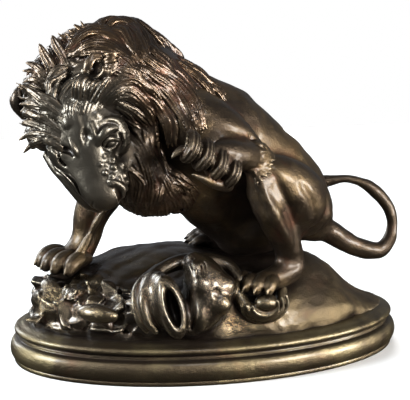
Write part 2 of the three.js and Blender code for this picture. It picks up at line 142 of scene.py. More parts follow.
@dataclass
class Clay:
    """A block of clay: the signed distance to its surface, held on an even grid, in millimetres."""

    low: Point
    high: Point
    cell: float
    value: np.ndarray = field(init=False, repr=False)
    axes: list[np.ndarray] = field(init=False, repr=False)

    def __post_init__(self) -> None:
        """Start with no clay at all: every grid point is far outside."""
        counts = [int(np.ceil((high - low) / self.cell)) + 1 for low, high in zip(self.low, self.high)]
        self.value = np.full(counts, FAR_AWAY, np.float32)
        self.axes = [(low + self.cell * np.arange(n)).astype(np.float32) for low, n in zip(self.low, counts)]

    def window(self, low: np.ndarray, high: np.ndarray) -> Window:
        """The part of the grid that covers a box.

        Args:
            low: the box's least corner.
            high: its greatest corner.
        Returns:
            One slice for each axis.
        """
        low, high = np.asarray(low), np.asarray(high)
        size = np.array(self.value.shape)
        first = np.clip(np.floor((low - self.low) / self.cell).astype(int), 0, size)
        last = np.clip(np.ceil((high - self.low) / self.cell).astype(int) + 1, 0, size)
        return tuple(slice(int(a), int(max(a, b))) for a, b in zip(first, last))

    def coordinates(self, window: Window) -> tuple[np.ndarray, np.ndarray, np.ndarray]:
        """Open x, y and z arrays of a window, ready to broadcast."""
        x, y, z = (axis[part] for axis, part in zip(self.axes, window))
        return x[:, None, None], y[None, :, None], z[None, None, :]

    def tube(self, path: np.ndarray, side: np.ndarray | None = None, thin: float = 1.0,
             ridges: float = 0.0, groove: float = 0.0, reach: float = 4.0) -> tuple[Window, np.ndarray]:
        """Signed distance to a round tube of changing radius, or to a flat ridged lock of hair.

        Formula: for each stretch of the path, the distance to its nearest point less the radius there.
        With side given, the part of the offset across both side and path is divided by thin first, and
        groove times the radius times 1 - |cos(pi/2 ridges s)| is added, s running -1 to 1 across the width.

        Args:
            path: (stations, 4), x, y, z and radius.
            side: (stations, 3), the direction of the width at each station.
            thin: thickness divided by width.
            ridges: crests across the width.
            groove: depth of the furrows between crests, as a part of the radius.
            reach: how far beyond the surface distances are wanted.
        Returns:
            The window and its distances.
        """
        path = np.asarray(path, np.float32)
        room = path[:, 3].max() + reach
        window = self.window(path[:, :3].min(0) - room, path[:, :3].max(0) + room)
        distance = np.full(tuple(s.stop - s.start for s in window), FAR_AWAY, np.float32)
        for k in range(len(path) - 1):
            a, b = path[k], path[k + 1]
            room = max(a[3], b[3]) + reach
            near = self.window(np.minimum(a, b)[:3] - room, np.maximum(a, b)[:3] + room)
            if any(s.stop <= s.start for s in near):
                continue
            x, y, z = self.coordinates(near)
            run = b[:3] - a[:3]
            x, y, z = x - a[0], y - a[1], z - a[2]
            t = np.clip((x * run[0] + y * run[1] + z * run[2]) / max(run @ run, np.float32(1e-6)), 0, 1)
            x, y, z = x - t * run[0], y - t * run[1], z - t * run[2]
            radius = a[3] + (b[3] - a[3]) * t
            square = x * x + y * y + z * z
            if side is not None:
                s = unit(side[k] + side[k + 1])
                n = unit(np.cross(run, s))
                out = x * n[0] + y * n[1] + z * n[2]
                square = square + out * out * np.float32(1 / thin**2 - 1)
            found = np.sqrt(square) - radius
            if side is not None:
                found = found * np.float32(np.sqrt(thin))
                if groove:
                    across = (x * s[0] + y * s[1] + z * s[2]) / np.maximum(radius, 0.4)
                    wave = 1 - np.abs(np.cos(np.float32(np.pi / 2 * ridges) * np.clip(across, -1.2, 1.2)))
                    found = found + np.float32(groove) * radius * wave
            place = tuple(slice(p.start - w.start, p.stop - w.start) for p, w in zip(near, window))
            np.minimum(distance[place], found, out=distance[place])
        return window, distance

    def lump(self, centre: Point, half: Point, axes: np.ndarray | None = None,
             reach: float = 4.0) -> tuple[Window, np.ndarray]:
        """Signed distance to an ellipsoid: k(k-1)/g, k = |p/half| and g = |p/half^2|.

        Args:
            centre: its middle.
            half: its half sizes, along its own axes.
            axes: its three axes as rows, or None for x, y and z.
            reach: how far beyond the surface distances are wanted.
        Returns:
            The window and its distances.
        """
        centre, half = np.asarray(centre, np.float32), np.asarray(half, np.float32)
        axes = np.eye(3, dtype=np.float32) if axes is None else unit(axes)
        room = half.max() + reach
        window = self.window(centre - room, centre + room)
        x, y, z = (c - m for c, m in zip(self.coordinates(window), centre))
        own = [x * v[0] + y * v[1] + z * v[2] for v in axes]
        k = np.sqrt(sum((p / h) ** 2 for p, h in zip(own, half)))
        g = np.sqrt(sum((p / (h * h)) ** 2 for p, h in zip(own, half)))
        return window, k * (k - 1) / np.maximum(g, 1e-6)

    @staticmethod
    def fillet(gap: np.ndarray, soft: float) -> np.ndarray:
        """How much a soft joint fills in: (soft - |gap|)^2 / (4 soft) where the two surfaces are near."""
        h = np.maximum(soft - np.abs(gap), 0)
        return h * h * np.float32(0.25 / max(soft, 1e-3))

    def blend(self, window: Window, distance: np.ndarray, soft: float) -> None:
        """Join clay: the lesser distance, less the fillet."""
        here = self.value[window]
        self.value[window] = np.minimum(here, distance) - self.fillet(here - distance, soft)

    def cut(self, window: Window, distance: np.ndarray, soft: float) -> None:
        """Take clay away: the mirror image of blend."""
        here = self.value[window]
        self.value[window] = np.maximum(here, -distance) + self.fillet(here + distance, soft)

    def soften(self, passes: int) -> None:
        """Smooth the surface.

        Formula: distances averaged with both neighbours, 1/4, 1/2, 1/4, along each axis in turn.

        Args:
            passes: how often.
        """
        self.value = np.clip(self.value, -12, 12)
        for _ in range(passes):
            for axis in range(3):
                w = np.moveaxis(self.value, axis, 0)
                w[1:-1] = 0.5 * w[1:-1] + 0.25 * (w[:-2] + w[2:])

    def add(self, stations: Path, soft: float, spans: int = 4, **lock: object) -> None:
        """Blend a smooth tube through stations of x, y, z and radius."""
        path = through(stations, spans)
        self.blend(*self.tube(path, reach=soft + 3 * self.cell, **lock), soft)

    def carve(self, stations: Path, soft: float, spans: int = 4) -> None:
        """Cut a smooth tube through stations of x, y, z and radius."""
        path = through(stations, spans)
        self.cut(*self.tube(path, reach=soft + 3 * self.cell), soft)

    def sample(self, p: np.ndarray) -> np.ndarray:
        """The signed distance at points, between the grid's by trilinear interpolation.

        Args:
            p: (..., 3), x, y and z.
        Returns:
            One number for each point.
        """
        g = (p - np.asarray(self.low, np.float32)) / np.float32(self.cell)
        g = np.clip(g, 0, np.array(self.value.shape, np.float32) - 1.001)
        i = g.astype(np.int32)
        f = (g - i).astype(np.float32)
        flat, (_, ny, nz) = self.value.ravel(), self.value.shape
        start = (i[..., 0] * ny + i[..., 1]) * nz + i[..., 2]
        fx, fy, fz = f[..., 0], f[..., 1], f[..., 2]

        def edge(offset: int) -> np.ndarray:
            """Mix the two ends of a grid edge along z."""
            return flat[start + offset] * (1 - fz) + flat[start + offset + 1] * fz

        front = edge(0) * (1 - fy) + edge(nz) * fy
        back = edge(ny * nz) * (1 - fy) + edge(ny * nz + nz) * fy
        return front * (1 - fx) + back * fx

    def slope(self, p: np.ndarray, step: float = 0.0) -> np.ndarray:
        """Gradient of the signed distance, by central differences.

        Args:
            p: (..., 3), x, y and z.
            step: how far on either side, or 0 for half a cell.
        Returns:
            One vector for each point.
        """
        e = step or self.cell * 0.5
        return np.stack([(self.sample(p + v) - self.sample(p - v)) / (2 * e)
                         for v in np.eye(3, dtype=np.float32) * np.float32(e)], -1)

    def weather(self, seed: int, hills: tuple[tuple[float, float], ...]) -> None:
        """The marks of modelling by hand: smooth random hills on the surface, at several sizes.

        Formula: random numbers on a coarse grid, raised to the fine grid by trilinear sampling.

        Args:
            seed: start of the random numbers.
            hills: distance between the coarse grid's points and the height's deviation, for each size.
        """
        chance = np.random.default_rng(seed)
        near = np.abs(self.value) < 6
        p = (np.argwhere(near) * self.cell + np.array(self.low)).astype(np.float32)
        for size, depth in hills:
            coarse = Clay(self.low, tuple(axis[-1] + size for axis in self.axes), size)
            coarse.value = chance.normal(0, depth, coarse.value.shape).astype(np.float32)
            self.value[near] += coarse.sample(p)

    def skin(self, passes: int = 3) -> tuple[np.ndarray, np.ndarray]:
        """The surface of the clay: one vertex for each cell that it crosses, one quad for each crossed edge.

        Each vertex starts at the mean of its cell's edge crossings, then moves along the gradient by the
        distance over the gradient's length, a few times.

        Args:
            passes: how often the vertices are drawn onto the surface.
        Returns:
            Vertices in millimetres and quads that face outwards.
        """
        v = self.value
        inside = v < 0
        cells = tuple(n - 1 for n in v.shape)
        corners = [(a, b, c) for a in (0, 1) for b in (0, 1) for c in (0, 1)]
        count = sum(inside[a:a + cells[0], b:b + cells[1], c:c + cells[2]].astype(np.int8)
                    for a, b, c in corners)
        crossed = (count > 0) & (count < 8)
        index = np.argwhere(crossed).astype(np.int32)
        number = np.full(cells, -1, np.int32)
        number[crossed] = np.arange(len(index))
        total, hits = np.zeros((len(index), 3), np.float32), np.zeros(len(index), np.float32)
        held = {c: v[index[:, 0] + c[0], index[:, 1] + c[1], index[:, 2] + c[2]] for c in corners}
        for corner in corners:
            for axis in range(3):
                if corner[axis]:
                    continue
                other = tuple(1 if k == axis else corner[k] for k in range(3))
                here, there = held[corner], held[other]
                met = (here < 0) != (there < 0)
                where = np.tile(np.array(corner, np.float32), (len(index), 1))
                where[:, axis] += np.where(met, here / np.where(met, here - there, 1), 0)
                total += where * met[:, None]
                hits += met
        points = np.asarray(self.low, np.float32) + np.float32(self.cell) * (index + total / hits[:, None])
        quads = np.vstack([self.walls(inside, number, axis) for axis in range(3)])
        for _ in range(passes):
            slope = self.slope(points)
            step = -(self.sample(points) / np.maximum((slope * slope).sum(1), 1e-2))[:, None] * slope
            length = np.linalg.norm(step, axis=1, keepdims=True)
            points = points + step * np.minimum(1, 0.6 * self.cell / np.maximum(length, TINY))
        return without_crumbs(points.astype(np.float32), quads)

    @staticmethod
    def walls(inside: np.ndarray, number: np.ndarray, axis: int) -> np.ndarray:
        """Quads around the grid edges along one axis that cross the surface.

        Args:
            inside: whether each grid point lies in the clay.
            number: each cell's vertex.
            axis: 0, 1 or 2.
        Returns:
            Quads that face outwards.
        """
        b, c = (axis + 1) % 3, (axis + 2) % 3
        near = [slice(1, n - 1) for n in inside.shape]
        far = list(near)
        near[axis], far[axis] = slice(0, inside.shape[axis] - 1), slice(1, inside.shape[axis])
        start, end = inside[tuple(near)], inside[tuple(far)]
        base = np.argwhere(start != end)
        leaving = start[tuple(base.T)]
        base[:, b] += 1
        base[:, c] += 1
        ring = []
        for db, dc in ((1, 1), (0, 1), (0, 0), (1, 0)):
            q = base.copy()
            q[:, b] -= db
            q[:, c] -= dc
            ring.append(number[q[:, 0], q[:, 1], q[:, 2]])
        quads = np.stack(ring, 1)
        quads[~leaving] = quads[~leaving][:, ::-1]
        return quads


# From clay to mesh

def vectors(rows: bpy.types.bpy_prop_collection, name: str) -> np.ndarray:
    """A vector of each element of a mesh.

    Args:
        rows: the elements.
        name: the property that holds the vector.
    Returns:
        (elements, 3).
    """
    flat = np.empty(len(rows) * 3, np.float32)
    rows.foreach_get(name, flat)
    return flat.reshape(-1, 3)


def store(mesh: bpy.types.Mesh, name: str, value: np.ndarray) -> None:
    """Store a number on each vertex, for the finishes to read."""
    mesh.attributes.new(name, "FLOAT", "POINT").data.foreach_set("value", value.astype(np.float32))


def cast(name: str, points: np.ndarray, *faces: np.ndarray) -> bpy.types.Object:
    """Make a smooth mesh object of a surface given in millimetres, thinned where it has too many triangles.

    Args:
        name: the piece's name.
        points: vertices in millimetres.
        faces: one or more groups of faces that look outwards, with three or four corners.
    Returns:
        The object, in metres, at the origin.
    """
    mesh = bpy.data.meshes.new(name)
    mesh.from_pydata((points * MM).astype(float), [], [face for group in faces for face in group.tolist()])
    mesh.validate()
    piece = bpy.data.objects.new(name, mesh)
    bpy.context.collection.objects.link(piece)
    triangles = sum(len(p.vertices) - 2 for p in mesh.polygons)
    if triangles > PIECE_LIMIT:
        thin = piece.modifiers.new("thin", "DECIMATE")
        thin.ratio = PIECE_LIMIT / triangles
        depsgraph = bpy.context.evaluated_depsgraph_get()
        fewer = bpy.data.meshes.new_from_object(piece.evaluated_get(depsgraph))
        piece.modifiers.clear()
        piece.data = fewer
        bpy.data.meshes.remove(mesh)
        fewer.name = name
        fewer.validate()
    piece.data.shade_smooth()
    mark_hollows(piece.data)
    log.info("%s: %d triangles before thinning, %d vertices now", name, triangles, len(piece.data.vertices))
    return piece


def mark_hollows(mesh: bpy.types.Mesh) -> None:
    """Store how hollow the surface is at each vertex, 0 on crests, 0.5 on even ground and 1 in furrows.

    Formula: the mean of (neighbour - vertex) . normal over the neighbours, divided by the mean edge
    length, averaged with the neighbours' values twice for "hollow" and fourteen times for "basin".

    Args:
        mesh: the piece's mesh.
    """
    count = len(mesh.vertices)
    at, normal = vectors(mesh.vertices, "co"), vectors(mesh.vertex_normals, "vector")
    ends = np.empty(len(mesh.edges) * 2, np.int32)
    mesh.edges.foreach_get("vertices", ends)
    a, b = ends.reshape(-1, 2).T
    step = at[b] - at[a]
    degree = np.maximum(np.bincount(a, minlength=count) + np.bincount(b, minlength=count), 1)

    def gather(to_a: np.ndarray, to_b: np.ndarray) -> np.ndarray:
        """Mean over the edges of each vertex."""
        return (np.bincount(a, to_a, count) + np.bincount(b, to_b, count)) / degree

    bend = gather((step * normal[a]).sum(1), -(step * normal[b]).sum(1))
    bend = bend / np.maximum(np.linalg.norm(step, axis=1).mean(), TINY)
    for name, rounds, gain in (("hollow", 2, 1.6), ("basin", 14, 4.0)):
        level = bend.copy()
        for _ in range(rounds):
            level = 0.5 * level + 0.5 * gather(level[b], level[a])
        store(mesh, name, np.clip(0.5 + gain * level, 0, 1))


@dataclass
class PaintedLight:
    """Painted shade, and a painted grey sheen on the face: how much solid stands round a place, the whole
    object as a coarse block blurred at three sizes.
    """

    clays: list[Clay]
    plinth: "Plinth"
    cell: float = 4.0
    sizes: tuple[float, ...] = (6.0, 14.0, 30.0)
    # painted shade added under faces that look down
    underside_shade: float = 0.18
    # Middle, shape and fall-off of the face mask where a grey sheen is painted.
    face: Point = (-124.0, -70.0, 230.0)
    sheen_shape: Point = (1.0, 0.6, 0.85)
    sheen_fades: tuple[float, float] = (34, 74)
    levels: list[Clay] = field(init=False, repr=False)

    def __post_init__(self) -> None:
        """Fill the block from the clays and the plinth and blur it.

        Formula: the spectrum of the block times exp(-2 (pi size f)^2) along each axis.
        """
        block = self.block()
        x, y, z = block.coordinates(tuple(slice(0, n) for n in block.value.shape))
        oval = (x / (self.plinth.length / 2)) ** 2 + (y / (self.plinth.width / 2)) ** 2 < 1
        solid = (oval & (z > 0) & (z < self.plinth.ledge)).astype(np.float32)
        for clay in self.clays:
            window = block.window(clay.low, [axis[-1] - self.cell for axis in clay.axes])
            p = np.stack(np.broadcast_arrays(*block.coordinates(window)), -1)
            solid[window] = np.maximum(solid[window], clay.sample(p) < 0)
        spectrum = np.fft.rfftn(solid)
        waves = [np.fft.fftfreq(n, self.cell) for n in solid.shape[:2]]
        waves.append(np.fft.rfftfreq(solid.shape[2], self.cell))
        total = sum(wave**2 for wave in np.meshgrid(*waves, indexing="ij", sparse=True))
        self.levels = []
        for size in self.sizes:
            level = self.block()
            soft = spectrum * np.exp(-2 * (np.pi * size) ** 2 * total)
            level.value = np.fft.irfftn(soft, solid.shape, axes=(0, 1, 2)).astype(np.float32)
            self.levels.append(level)

    def block(self) -> Clay:
        """An empty block with room round the object."""
        return Clay((-240, -170, -50), (246, 150, 378), self.cell)

    def mark(self, piece: bpy.types.Object) -> None:
        """Store on each vertex how much shade to paint there, and how near it lies to the middle of the face.

        Formula: the painted shade is the mean of the blurred block, one size above the surface, over the
        sizes, plus the underside weight times the downward part of the normal, so that faces looking down get
        more.

        Args:
            piece: one of the pieces.
        """
        mesh = piece.data
        at, out = vectors(mesh.vertices, "co") / MM, vectors(mesh.vertex_normals, "vector")
        # How much shade is painted: more where solid stands round, and under faces that look down.
        value = sum(level.sample(at + out * size) for level, size in zip(self.levels, self.sizes))
        value = value / len(self.sizes) + self.underside_shade * np.clip(-out[:, 2], 0, 1)
        store(mesh, "painted_shade", value)
        # The face mask: where the grey sheen is painted.
        away = np.linalg.norm((at - self.face) * self.sheen_shape, axis=1)
        store(mesh, "face", 1 - ease(away, *self.sheen_fades))
        log.info("%s: shelter 5, 50, 95 %%: %s", piece.name, np.percentile(value, [5, 50, 95]).round(3))


# Hair

@dataclass
class LockRow:
    """One row of locks: guide strands from its first lock to its last, root to tip."""

    count: int
    girth: float
    first: tuple[Point, ...]
    last: tuple[Point, ...]
    near: bool = True
    spread: float = 0.0

    def strands(self, count: int) -> np.ndarray:
        """Strands evenly between the two guides, (count, points, 3)."""
        t = ((np.arange(count) + 0.5) / count)[:, None, None].astype(np.float32)
        return np.asarray(self.first, np.float32) * (1 - t) + np.asarray(self.last, np.float32) * t


@dataclass
class Comb:
    """How locks of hair are laid on a body of clay."""

    ridges: float
    groove: float
    thin: float
    soft: float = 0.8

    def lay(self, clay: Clay, under: Clay, points: np.ndarray, girth: np.ndarray) -> None:
        """Blend a flat, furrowed, pointed lock along each strand.

        The width lies across the strand and along the surface underneath. The radius swells from a thin,
        sunken root to full and falls to a point: girth times sin(pi (0.05 + 0.93 t))^0.6.

        Args:
            clay: what the locks are added to.
            under: the surface that they lie on.
            points: (locks, stations, 3), the middle line of each lock.
            girth: (locks,), half the width of each lock.
        """
        t = np.linspace(0, 1, points.shape[1], dtype=np.float32)
        radius = np.asarray(girth, np.float32)[:, None] * np.sin(np.pi * (0.05 + 0.93 * t)) ** 0.6
        tangent, out = np.gradient(points, axis=1), unit(under.slope(points, GRADIENT_STEP))
        points = points - out * (0.5 * np.asarray(girth, np.float32)[:, None] * (1 - t) ** 3)[..., None]
        side = unit(np.cross(tangent, out))
        for path, wide, r in zip(points, side, radius):
            window, distance = clay.tube(np.column_stack([path, r]), wide, self.thin, self.ridges,
                                         self.groove, reach=self.soft + 2.5 * clay.cell)
            clay.blend(window, distance, self.soft)


# The lion

@dataclass
class Mane:
    """The mane: a body of hair under rows of large locks, with small locks combed in between."""

    cell: float = 0.95
    seed: int = 11
    spacing: float = 8.5
    steps: int = 13
    stride: float = 4.1
    seam: tuple[float, float] = (-16, -8)
    parting: float = -11
    neck: Stations = ((-110, -24, 256, 33), (-96, -22, 268, 38), (-74, -14, 269, 41), (-50, -8, 253, 41),
                      (-28, -6, 236, 41), (-12, -4, 220, 40))
    crest: Stations = ((-112, -14, 290, 22), (-94, -4, 298, 24.5), (-74, 0, 296, 25), (-52, 0, 284, 20))
    far_cheek: Stations = ((-122, -8, 282, 25), (-140, -10, 262, 25), (-146, -20, 228, 18))
    chest: Stations = ((-82, -30, 200, 30), (-62, -26, 178, 28), (-44, -18, 170, 24), (-18, -8, 168, 18))
    rows: tuple[LockRow, ...] = (
        # forehead, right half and left half
        LockRow(8, 4.4,
                ((-144, -59, 242), (-144, -50, 255), (-140, -46, 266), (-131, -45, 276), (-119, -51, 284)),
                ((-128, -69, 240), (-127, -64, 255), (-121, -58, 265), (-112, -58, 274), (-99, -60, 281))),
        LockRow(8, 4.4,
                ((-126, -70, 240), (-123, -64, 255), (-117, -59, 264), (-107, -60, 275), (-93, -58, 283)),
                ((-106, -64, 248), (-98, -61, 260), (-89, -61, 267), (-79, -59, 274), (-69, -55, 281))),
        # the arcs over the near ear, the mass behind them, the dome, and the hair right of the ear
        LockRow(6, 5.5,
                ((-71, -53, 293), (-86, -48, 302), (-99, -40, 306), (-114, -38, 305), (-132, -35, 296)),
                ((-75, -56, 287), (-85, -55, 294), (-96, -50, 299), (-110, -44, 301), (-123, -41, 295))),
        LockRow(7, 5.5,
                ((-73, -51, 297), (-86, -38, 309), (-101, -28, 314), (-116, -27, 312), (-131, -31, 301)),
                ((-89, -18, 321), (-101, -17, 321), (-114, -21, 316), (-124, -29, 308), (-131, -33, 297))),
        LockRow(9, 5.5, ((-104, -16, 319), (-88, 0, 322), (-74, 0, 322), (-66, -16, 317), (-66, -36, 304)),
                ((-94, -32, 312), (-88, -28, 315), (-81, -29, 314), (-77, -40, 307), (-73, -51, 297))),
        LockRow(5, 5.0, ((-93, -54, 293), (-88, -52, 296), (-79, -53, 294), (-73, -56, 287), (-68, -56, 276)),
                ((-98, -59, 283), (-91, -59, 284), (-84, -59, 284), (-75, -58, 280), (-68, -58, 271))),
        # long hair over the shoulder, cheek, beard and chest
        LockRow(11, 5.0,
                ((-71, -48, 296), (-50, -45, 286), (-30, -45, 272), (-18, -60, 254), (-12, -69, 235)),
                ((-69, -55, 280), (-55, -53, 270), (-42, -52, 256), (-34, -62, 242), (-29, -66, 225))),
        LockRow(6, 4.8, ((-69, -56, 276), (-57, -54, 267), (-47, -52, 253), (-41, -59, 239), (-37, -60, 218)),
                ((-75, -58, 270), (-62, -54, 260), (-53, -51, 248), (-47, -54, 234), (-44, -52, 213))),
        LockRow(6, 4.6, ((-81, -60, 267), (-68, -54, 256), (-58, -49, 243), (-52, -47, 227), (-50, -46, 208)),
                ((-86, -56, 250), (-76, -47, 241), (-68, -43, 229), (-66, -51, 218), (-65, -56, 204))),
        LockRow(8, 5, ((-81, -59, 211), (-75, -61, 199), (-70, -58, 183), (-71, -53, 167), (-65, -34, 149)),
                ((-58, -48, 211), (-49, -46, 200), (-47, -50, 186), (-52, -53, 170), (-55, -42, 152))),
        LockRow(9, 3.6, ((-43, -44, 195), (-34, -44, 190), (-24, -42, 183), (-14, -38, 173)),
                ((-54, -54, 187), (-50, -53, 177), (-44, -48, 167), (-38, -42, 157))),
        # right cheek, the leaf-shaped locks of the temple and the bristles behind them
        LockRow(16, 3.6, ((-134, -68, 246), (-147, -58, 262), (-162, -42, 271), (-175, -30, 271)),
                ((-142, -67, 216), (-153, -59, 222), (-164, -48, 221), (-174, -40, 214)), spread=1.8),
        LockRow(4, 5.2, ((-131, -63, 257), (-131, -62, 267), (-128, -59, 277), (-122, -55, 286)),
                ((-112, -68, 257), (-107, -67, 267), (-100, -65, 276), (-91, -62, 283))),
        LockRow(1, 6.0, ((-128, -40, 282), (-134, -34, 294), (-138, -28, 303), (-143, -22, 310)),
                ((-132, -38, 286), (-136, -32, 296), (-139, -26, 304), (-143, -22, 309))),
        LockRow(1, 5.6, ((-140, -42, 268), (-144, -36, 282), (-149, -29, 294), (-153, -24, 305)),
                ((-140, -40, 272), (-144, -34, 286), (-149, -28, 295), (-153, -24, 305))),
        LockRow(3, 3.8, ((-144, -42, 262), (-152, -35, 270), (-161, -27, 273), (-170, -22, 271)),
                ((-142, -40, 272), (-151, -33, 281), (-159, -26, 288), (-166, -22, 290))),
        LockRow(4, 4.6, ((-132, -44, 290), (-140, -42, 286), (-147, -44, 276), (-148, -48, 262)),
                ((-135, -46, 278), (-141, -47, 272), (-145, -50, 264), (-144, -54, 254))),
        LockRow(8, 1.9, ((-131, -20, 303), (-135, -18, 308), (-139, -15, 312)),
                ((-108, -12, 314), (-111, -10, 319), (-115, -7, 323))),
        # the far side: withers, back of the crest, far neck, far temple
        LockRow(4, 6.0, ((-50, 14, 300), (-38, 18, 297), (-26, 20, 288), (-15, 20, 275)),
                ((-50, 1, 301), (-38, 4, 298), (-26, 6, 289), (-18, 8, 276)), near=False),
        LockRow(7, 7, ((-84, 8, 314), (-56, 18, 296), (-32, 24, 272), (-10, 26, 250)),
                ((-112, 10, 298), (-92, 26, 284), (-62, 36, 256), (-38, 38, 226)), near=False),
        LockRow(7, 7, ((-128, 4, 282), (-112, 22, 262), (-86, 36, 232), (-62, 40, 196)),
                ((-138, 0, 240), (-124, 12, 220), (-100, 24, 196), (-78, 22, 166)), near=False),
        LockRow(4, 4.5, ((-122, 2, 294), (-134, 6, 296), (-143, 8, 293), (-150, 9, 287)),
                ((-136, -6, 262), (-150, -2, 266), (-158, 0, 265), (-164, 2, 262)), near=False),
        LockRow(6, 5.5, ((-140, -16, 246), (-154, -10, 250), (-165, -6, 250), (-173, -4, 247)),
                ((-138, -24, 214), (-150, -18, 214), (-158, -12, 210), (-163, -10, 204)), near=False),
    )
    ear_pocket: tuple[Point, Point] = ((-108, -60, 287), (9.5, 14, 8))
    ear_tufts: tuple[LockRow, ...] = (
        LockRow(6, 2.5, ((-107, -52, 280), (-101, -59, 281), (-95, -62, 283), (-89, -61, 287)),
                ((-104, -50, 297), (-98, -57, 301), (-92, -58, 303), (-86, -55, 302))),
        LockRow(4, 2.6, ((-100, -53, 301), (-110, -56, 301), (-117, -58, 294), (-119, -61, 285)),
                ((-103, -56, 296), (-108, -59, 296), (-112, -61, 291), (-114, -62, 285))),
        LockRow(4, 2.4, ((-112, -54, 279), (-107, -61, 281), (-104, -63, 286), (-103, -62, 291)),
                ((-104, -54, 279), (-99, -61, 280), (-96, -63, 284), (-94, -62, 289))),
    )
    withers: tuple[Point, Point] = ((-40, -14, 286), (30, 24, 20))

    def under(self, near: bool | None, cell: float) -> Clay:
        """The body of hair under the locks.

        Args:
            near: which half keeps its full size; the other half is a little smaller. None keeps both.
            cell: grid size.
        Returns:
            The clay.
        """
        clay = Clay((-186, -88, 138), (22, 54, 334), cell)
        for stations in (self.neck, self.crest, self.far_cheek, self.chest):
            clay.add(stations, soft=9, spans=3)
        if near is not None:
            beyond = ease(clay.axes[1][None, :, None], *self.seam)
            clay.value += 1.2 * (beyond if near else 1 - beyond)
        return clay

    def flow(self, points: np.ndarray) -> np.ndarray:
        """Which way the hair lies: the guide strands' directions, weighed by 1 / (d^2 + 60)^2.

        Args:
            points: (points, 3).
        Returns:
            One unit vector for each point.
        """
        rows = [through(row.strands(4), 3) for row in self.rows]
        way = np.concatenate([unit(np.gradient(row, axis=1)).reshape(-1, 3) for row in rows])
        place = np.concatenate([row.reshape(-1, 3) for row in rows])
        square = ((points[:, None, :] - place[None]) ** 2).sum(-1)
        return unit(1 / (square + 60) ** 2 @ way)

    def combed(self, under: Clay) -> tuple[np.ndarray, np.ndarray]:
        """Small locks that follow the flow over the body of hair.

        Seeds are one point of the surface for each cube of the spacing. Each step moves along the flow, laid
        flat on the surface and swung a little to one side, and then back to its height over the surface.

        Args:
            under: the body of hair.
        Returns:
            Middle lines (locks, stations, 3) and half widths (locks,).
        """
        chance = np.random.default_rng(self.seed)
        surface, _ = under.skin(1)
        _, first = np.unique(np.floor(surface / self.spacing).astype(int), axis=0, return_index=True)
        seeds = surface[first] + chance.normal(0, 0.8, (len(first), 3)).astype(np.float32)
        girth = chance.uniform(3.4, 5.2, len(seeds)).astype(np.float32)
        swing = chance.normal(0, 0.06, len(seeds)).astype(np.float32)
        phase = chance.uniform(0, 6.28, len(seeds)).astype(np.float32)
        lift = chance.uniform(-0.1, 0.45, len(seeds)).astype(np.float32)
        line, last = [seeds], self.steps - 1
        for k in range(1, self.steps):
            here = line[-1]
            out = unit(under.slope(here, GRADIENT_STEP))
            way = self.flow(here)
            way = unit(way - (way * out).sum(1, keepdims=True) * out)
            bend = (swing + 0.14 * np.sin(phase + 0.6 * k))[:, None]
            there = here + unit(way + bend * np.cross(out, way)) * self.stride
            height = girth * (lift + 0.35 * np.sin(np.pi * k / last) - 0.7 * (k / last) ** 3)
            over = under.sample(there) - height
            line.append(there - over[:, None] * unit(under.slope(there, GRADIENT_STEP)))
        return np.stack(line, 1).astype(np.float32), girth

    @staticmethod
    def rooted(points: np.ndarray, face: Clay) -> np.ndarray:
        """Strands whose roots lie near the face, drawn down so that they grow out of its surface.

        Args:
            points: (strands, stations, 3).
            face: the head's clay.
        Returns:
            The strands, moved.
        """
        t = np.linspace(0, 1, points.shape[1])[None]
        over = face.sample(points)
        weight = (1 - ease(t, 0.15, 0.55)) * (over[:, :1] < 9)
        drop = (over - (8 * t - 1.3)) * weight
        return (points - drop[..., None] * unit(face.slope(points, GRADIENT_STEP))).astype(np.float32)

    def build(self, near: bool, head: "Head", face: Clay, body: Clay) -> bpy.types.Object:
        """One half of the mane.

        Args:
            near: the viewer's half, or the other.
            head: the head's sizes, for the bed that the large locks lie on.
            face: the head's clay, which small locks keep clear of.
            body: the body, which small locks keep clear of.
        Returns:
            The piece.
        """
        coarse = self.under(None, 2.0)
        clay = self.under(near, self.cell)
        bed = self.under(None, 2.0)
        for stations in (head.skull, head.muzzle):
            bed.add(head.place(stations), soft=6)
        small, girth = self.combed(coarse)
        middle = small[:, small.shape[1] // 2]
        keep = (face.sample(small).min(1) > 0.2) & (body.sample(middle) > -1.0)
        keep &= (middle[:, 1] < self.parting) == near
        keep &= (((middle - self.withers[0]) / self.withers[1]) ** 2).sum(1) > 1
        Comb(ridges=3.0, groove=0.40, thin=0.66).lay(clay, coarse, small[keep], girth[keep])
        chance = np.random.default_rng(self.seed + 1)
        for rows, rooted in ((self.rows, True), (self.ear_tufts, False)):
            for row in rows:
                if row.near is not near:
                    continue
                strands = row.strands(row.count)
                growing = np.linspace(0.3, 1.3 + row.spread, strands.shape[1])[:, None]
                jitter = chance.normal(0, 1.0 if rooted else 0.5, strands.shape) * growing
                points = through(strands + jitter.astype(np.float32), 4)
                points = self.rooted(points, face) if rooted else points.astype(np.float32)
                comb = Comb(ridges=3.0 if row.girth > 3 else 1.0, groove=0.40, thin=0.6)
                comb.lay(clay, bed, points, row.girth * chance.uniform(0.85, 1.15, row.count))
            if rooted:
                clay.cut(*clay.lump(*self.ear_pocket), 5)
        return cast("mane_near" if near else "mane_far", *clay.skin())


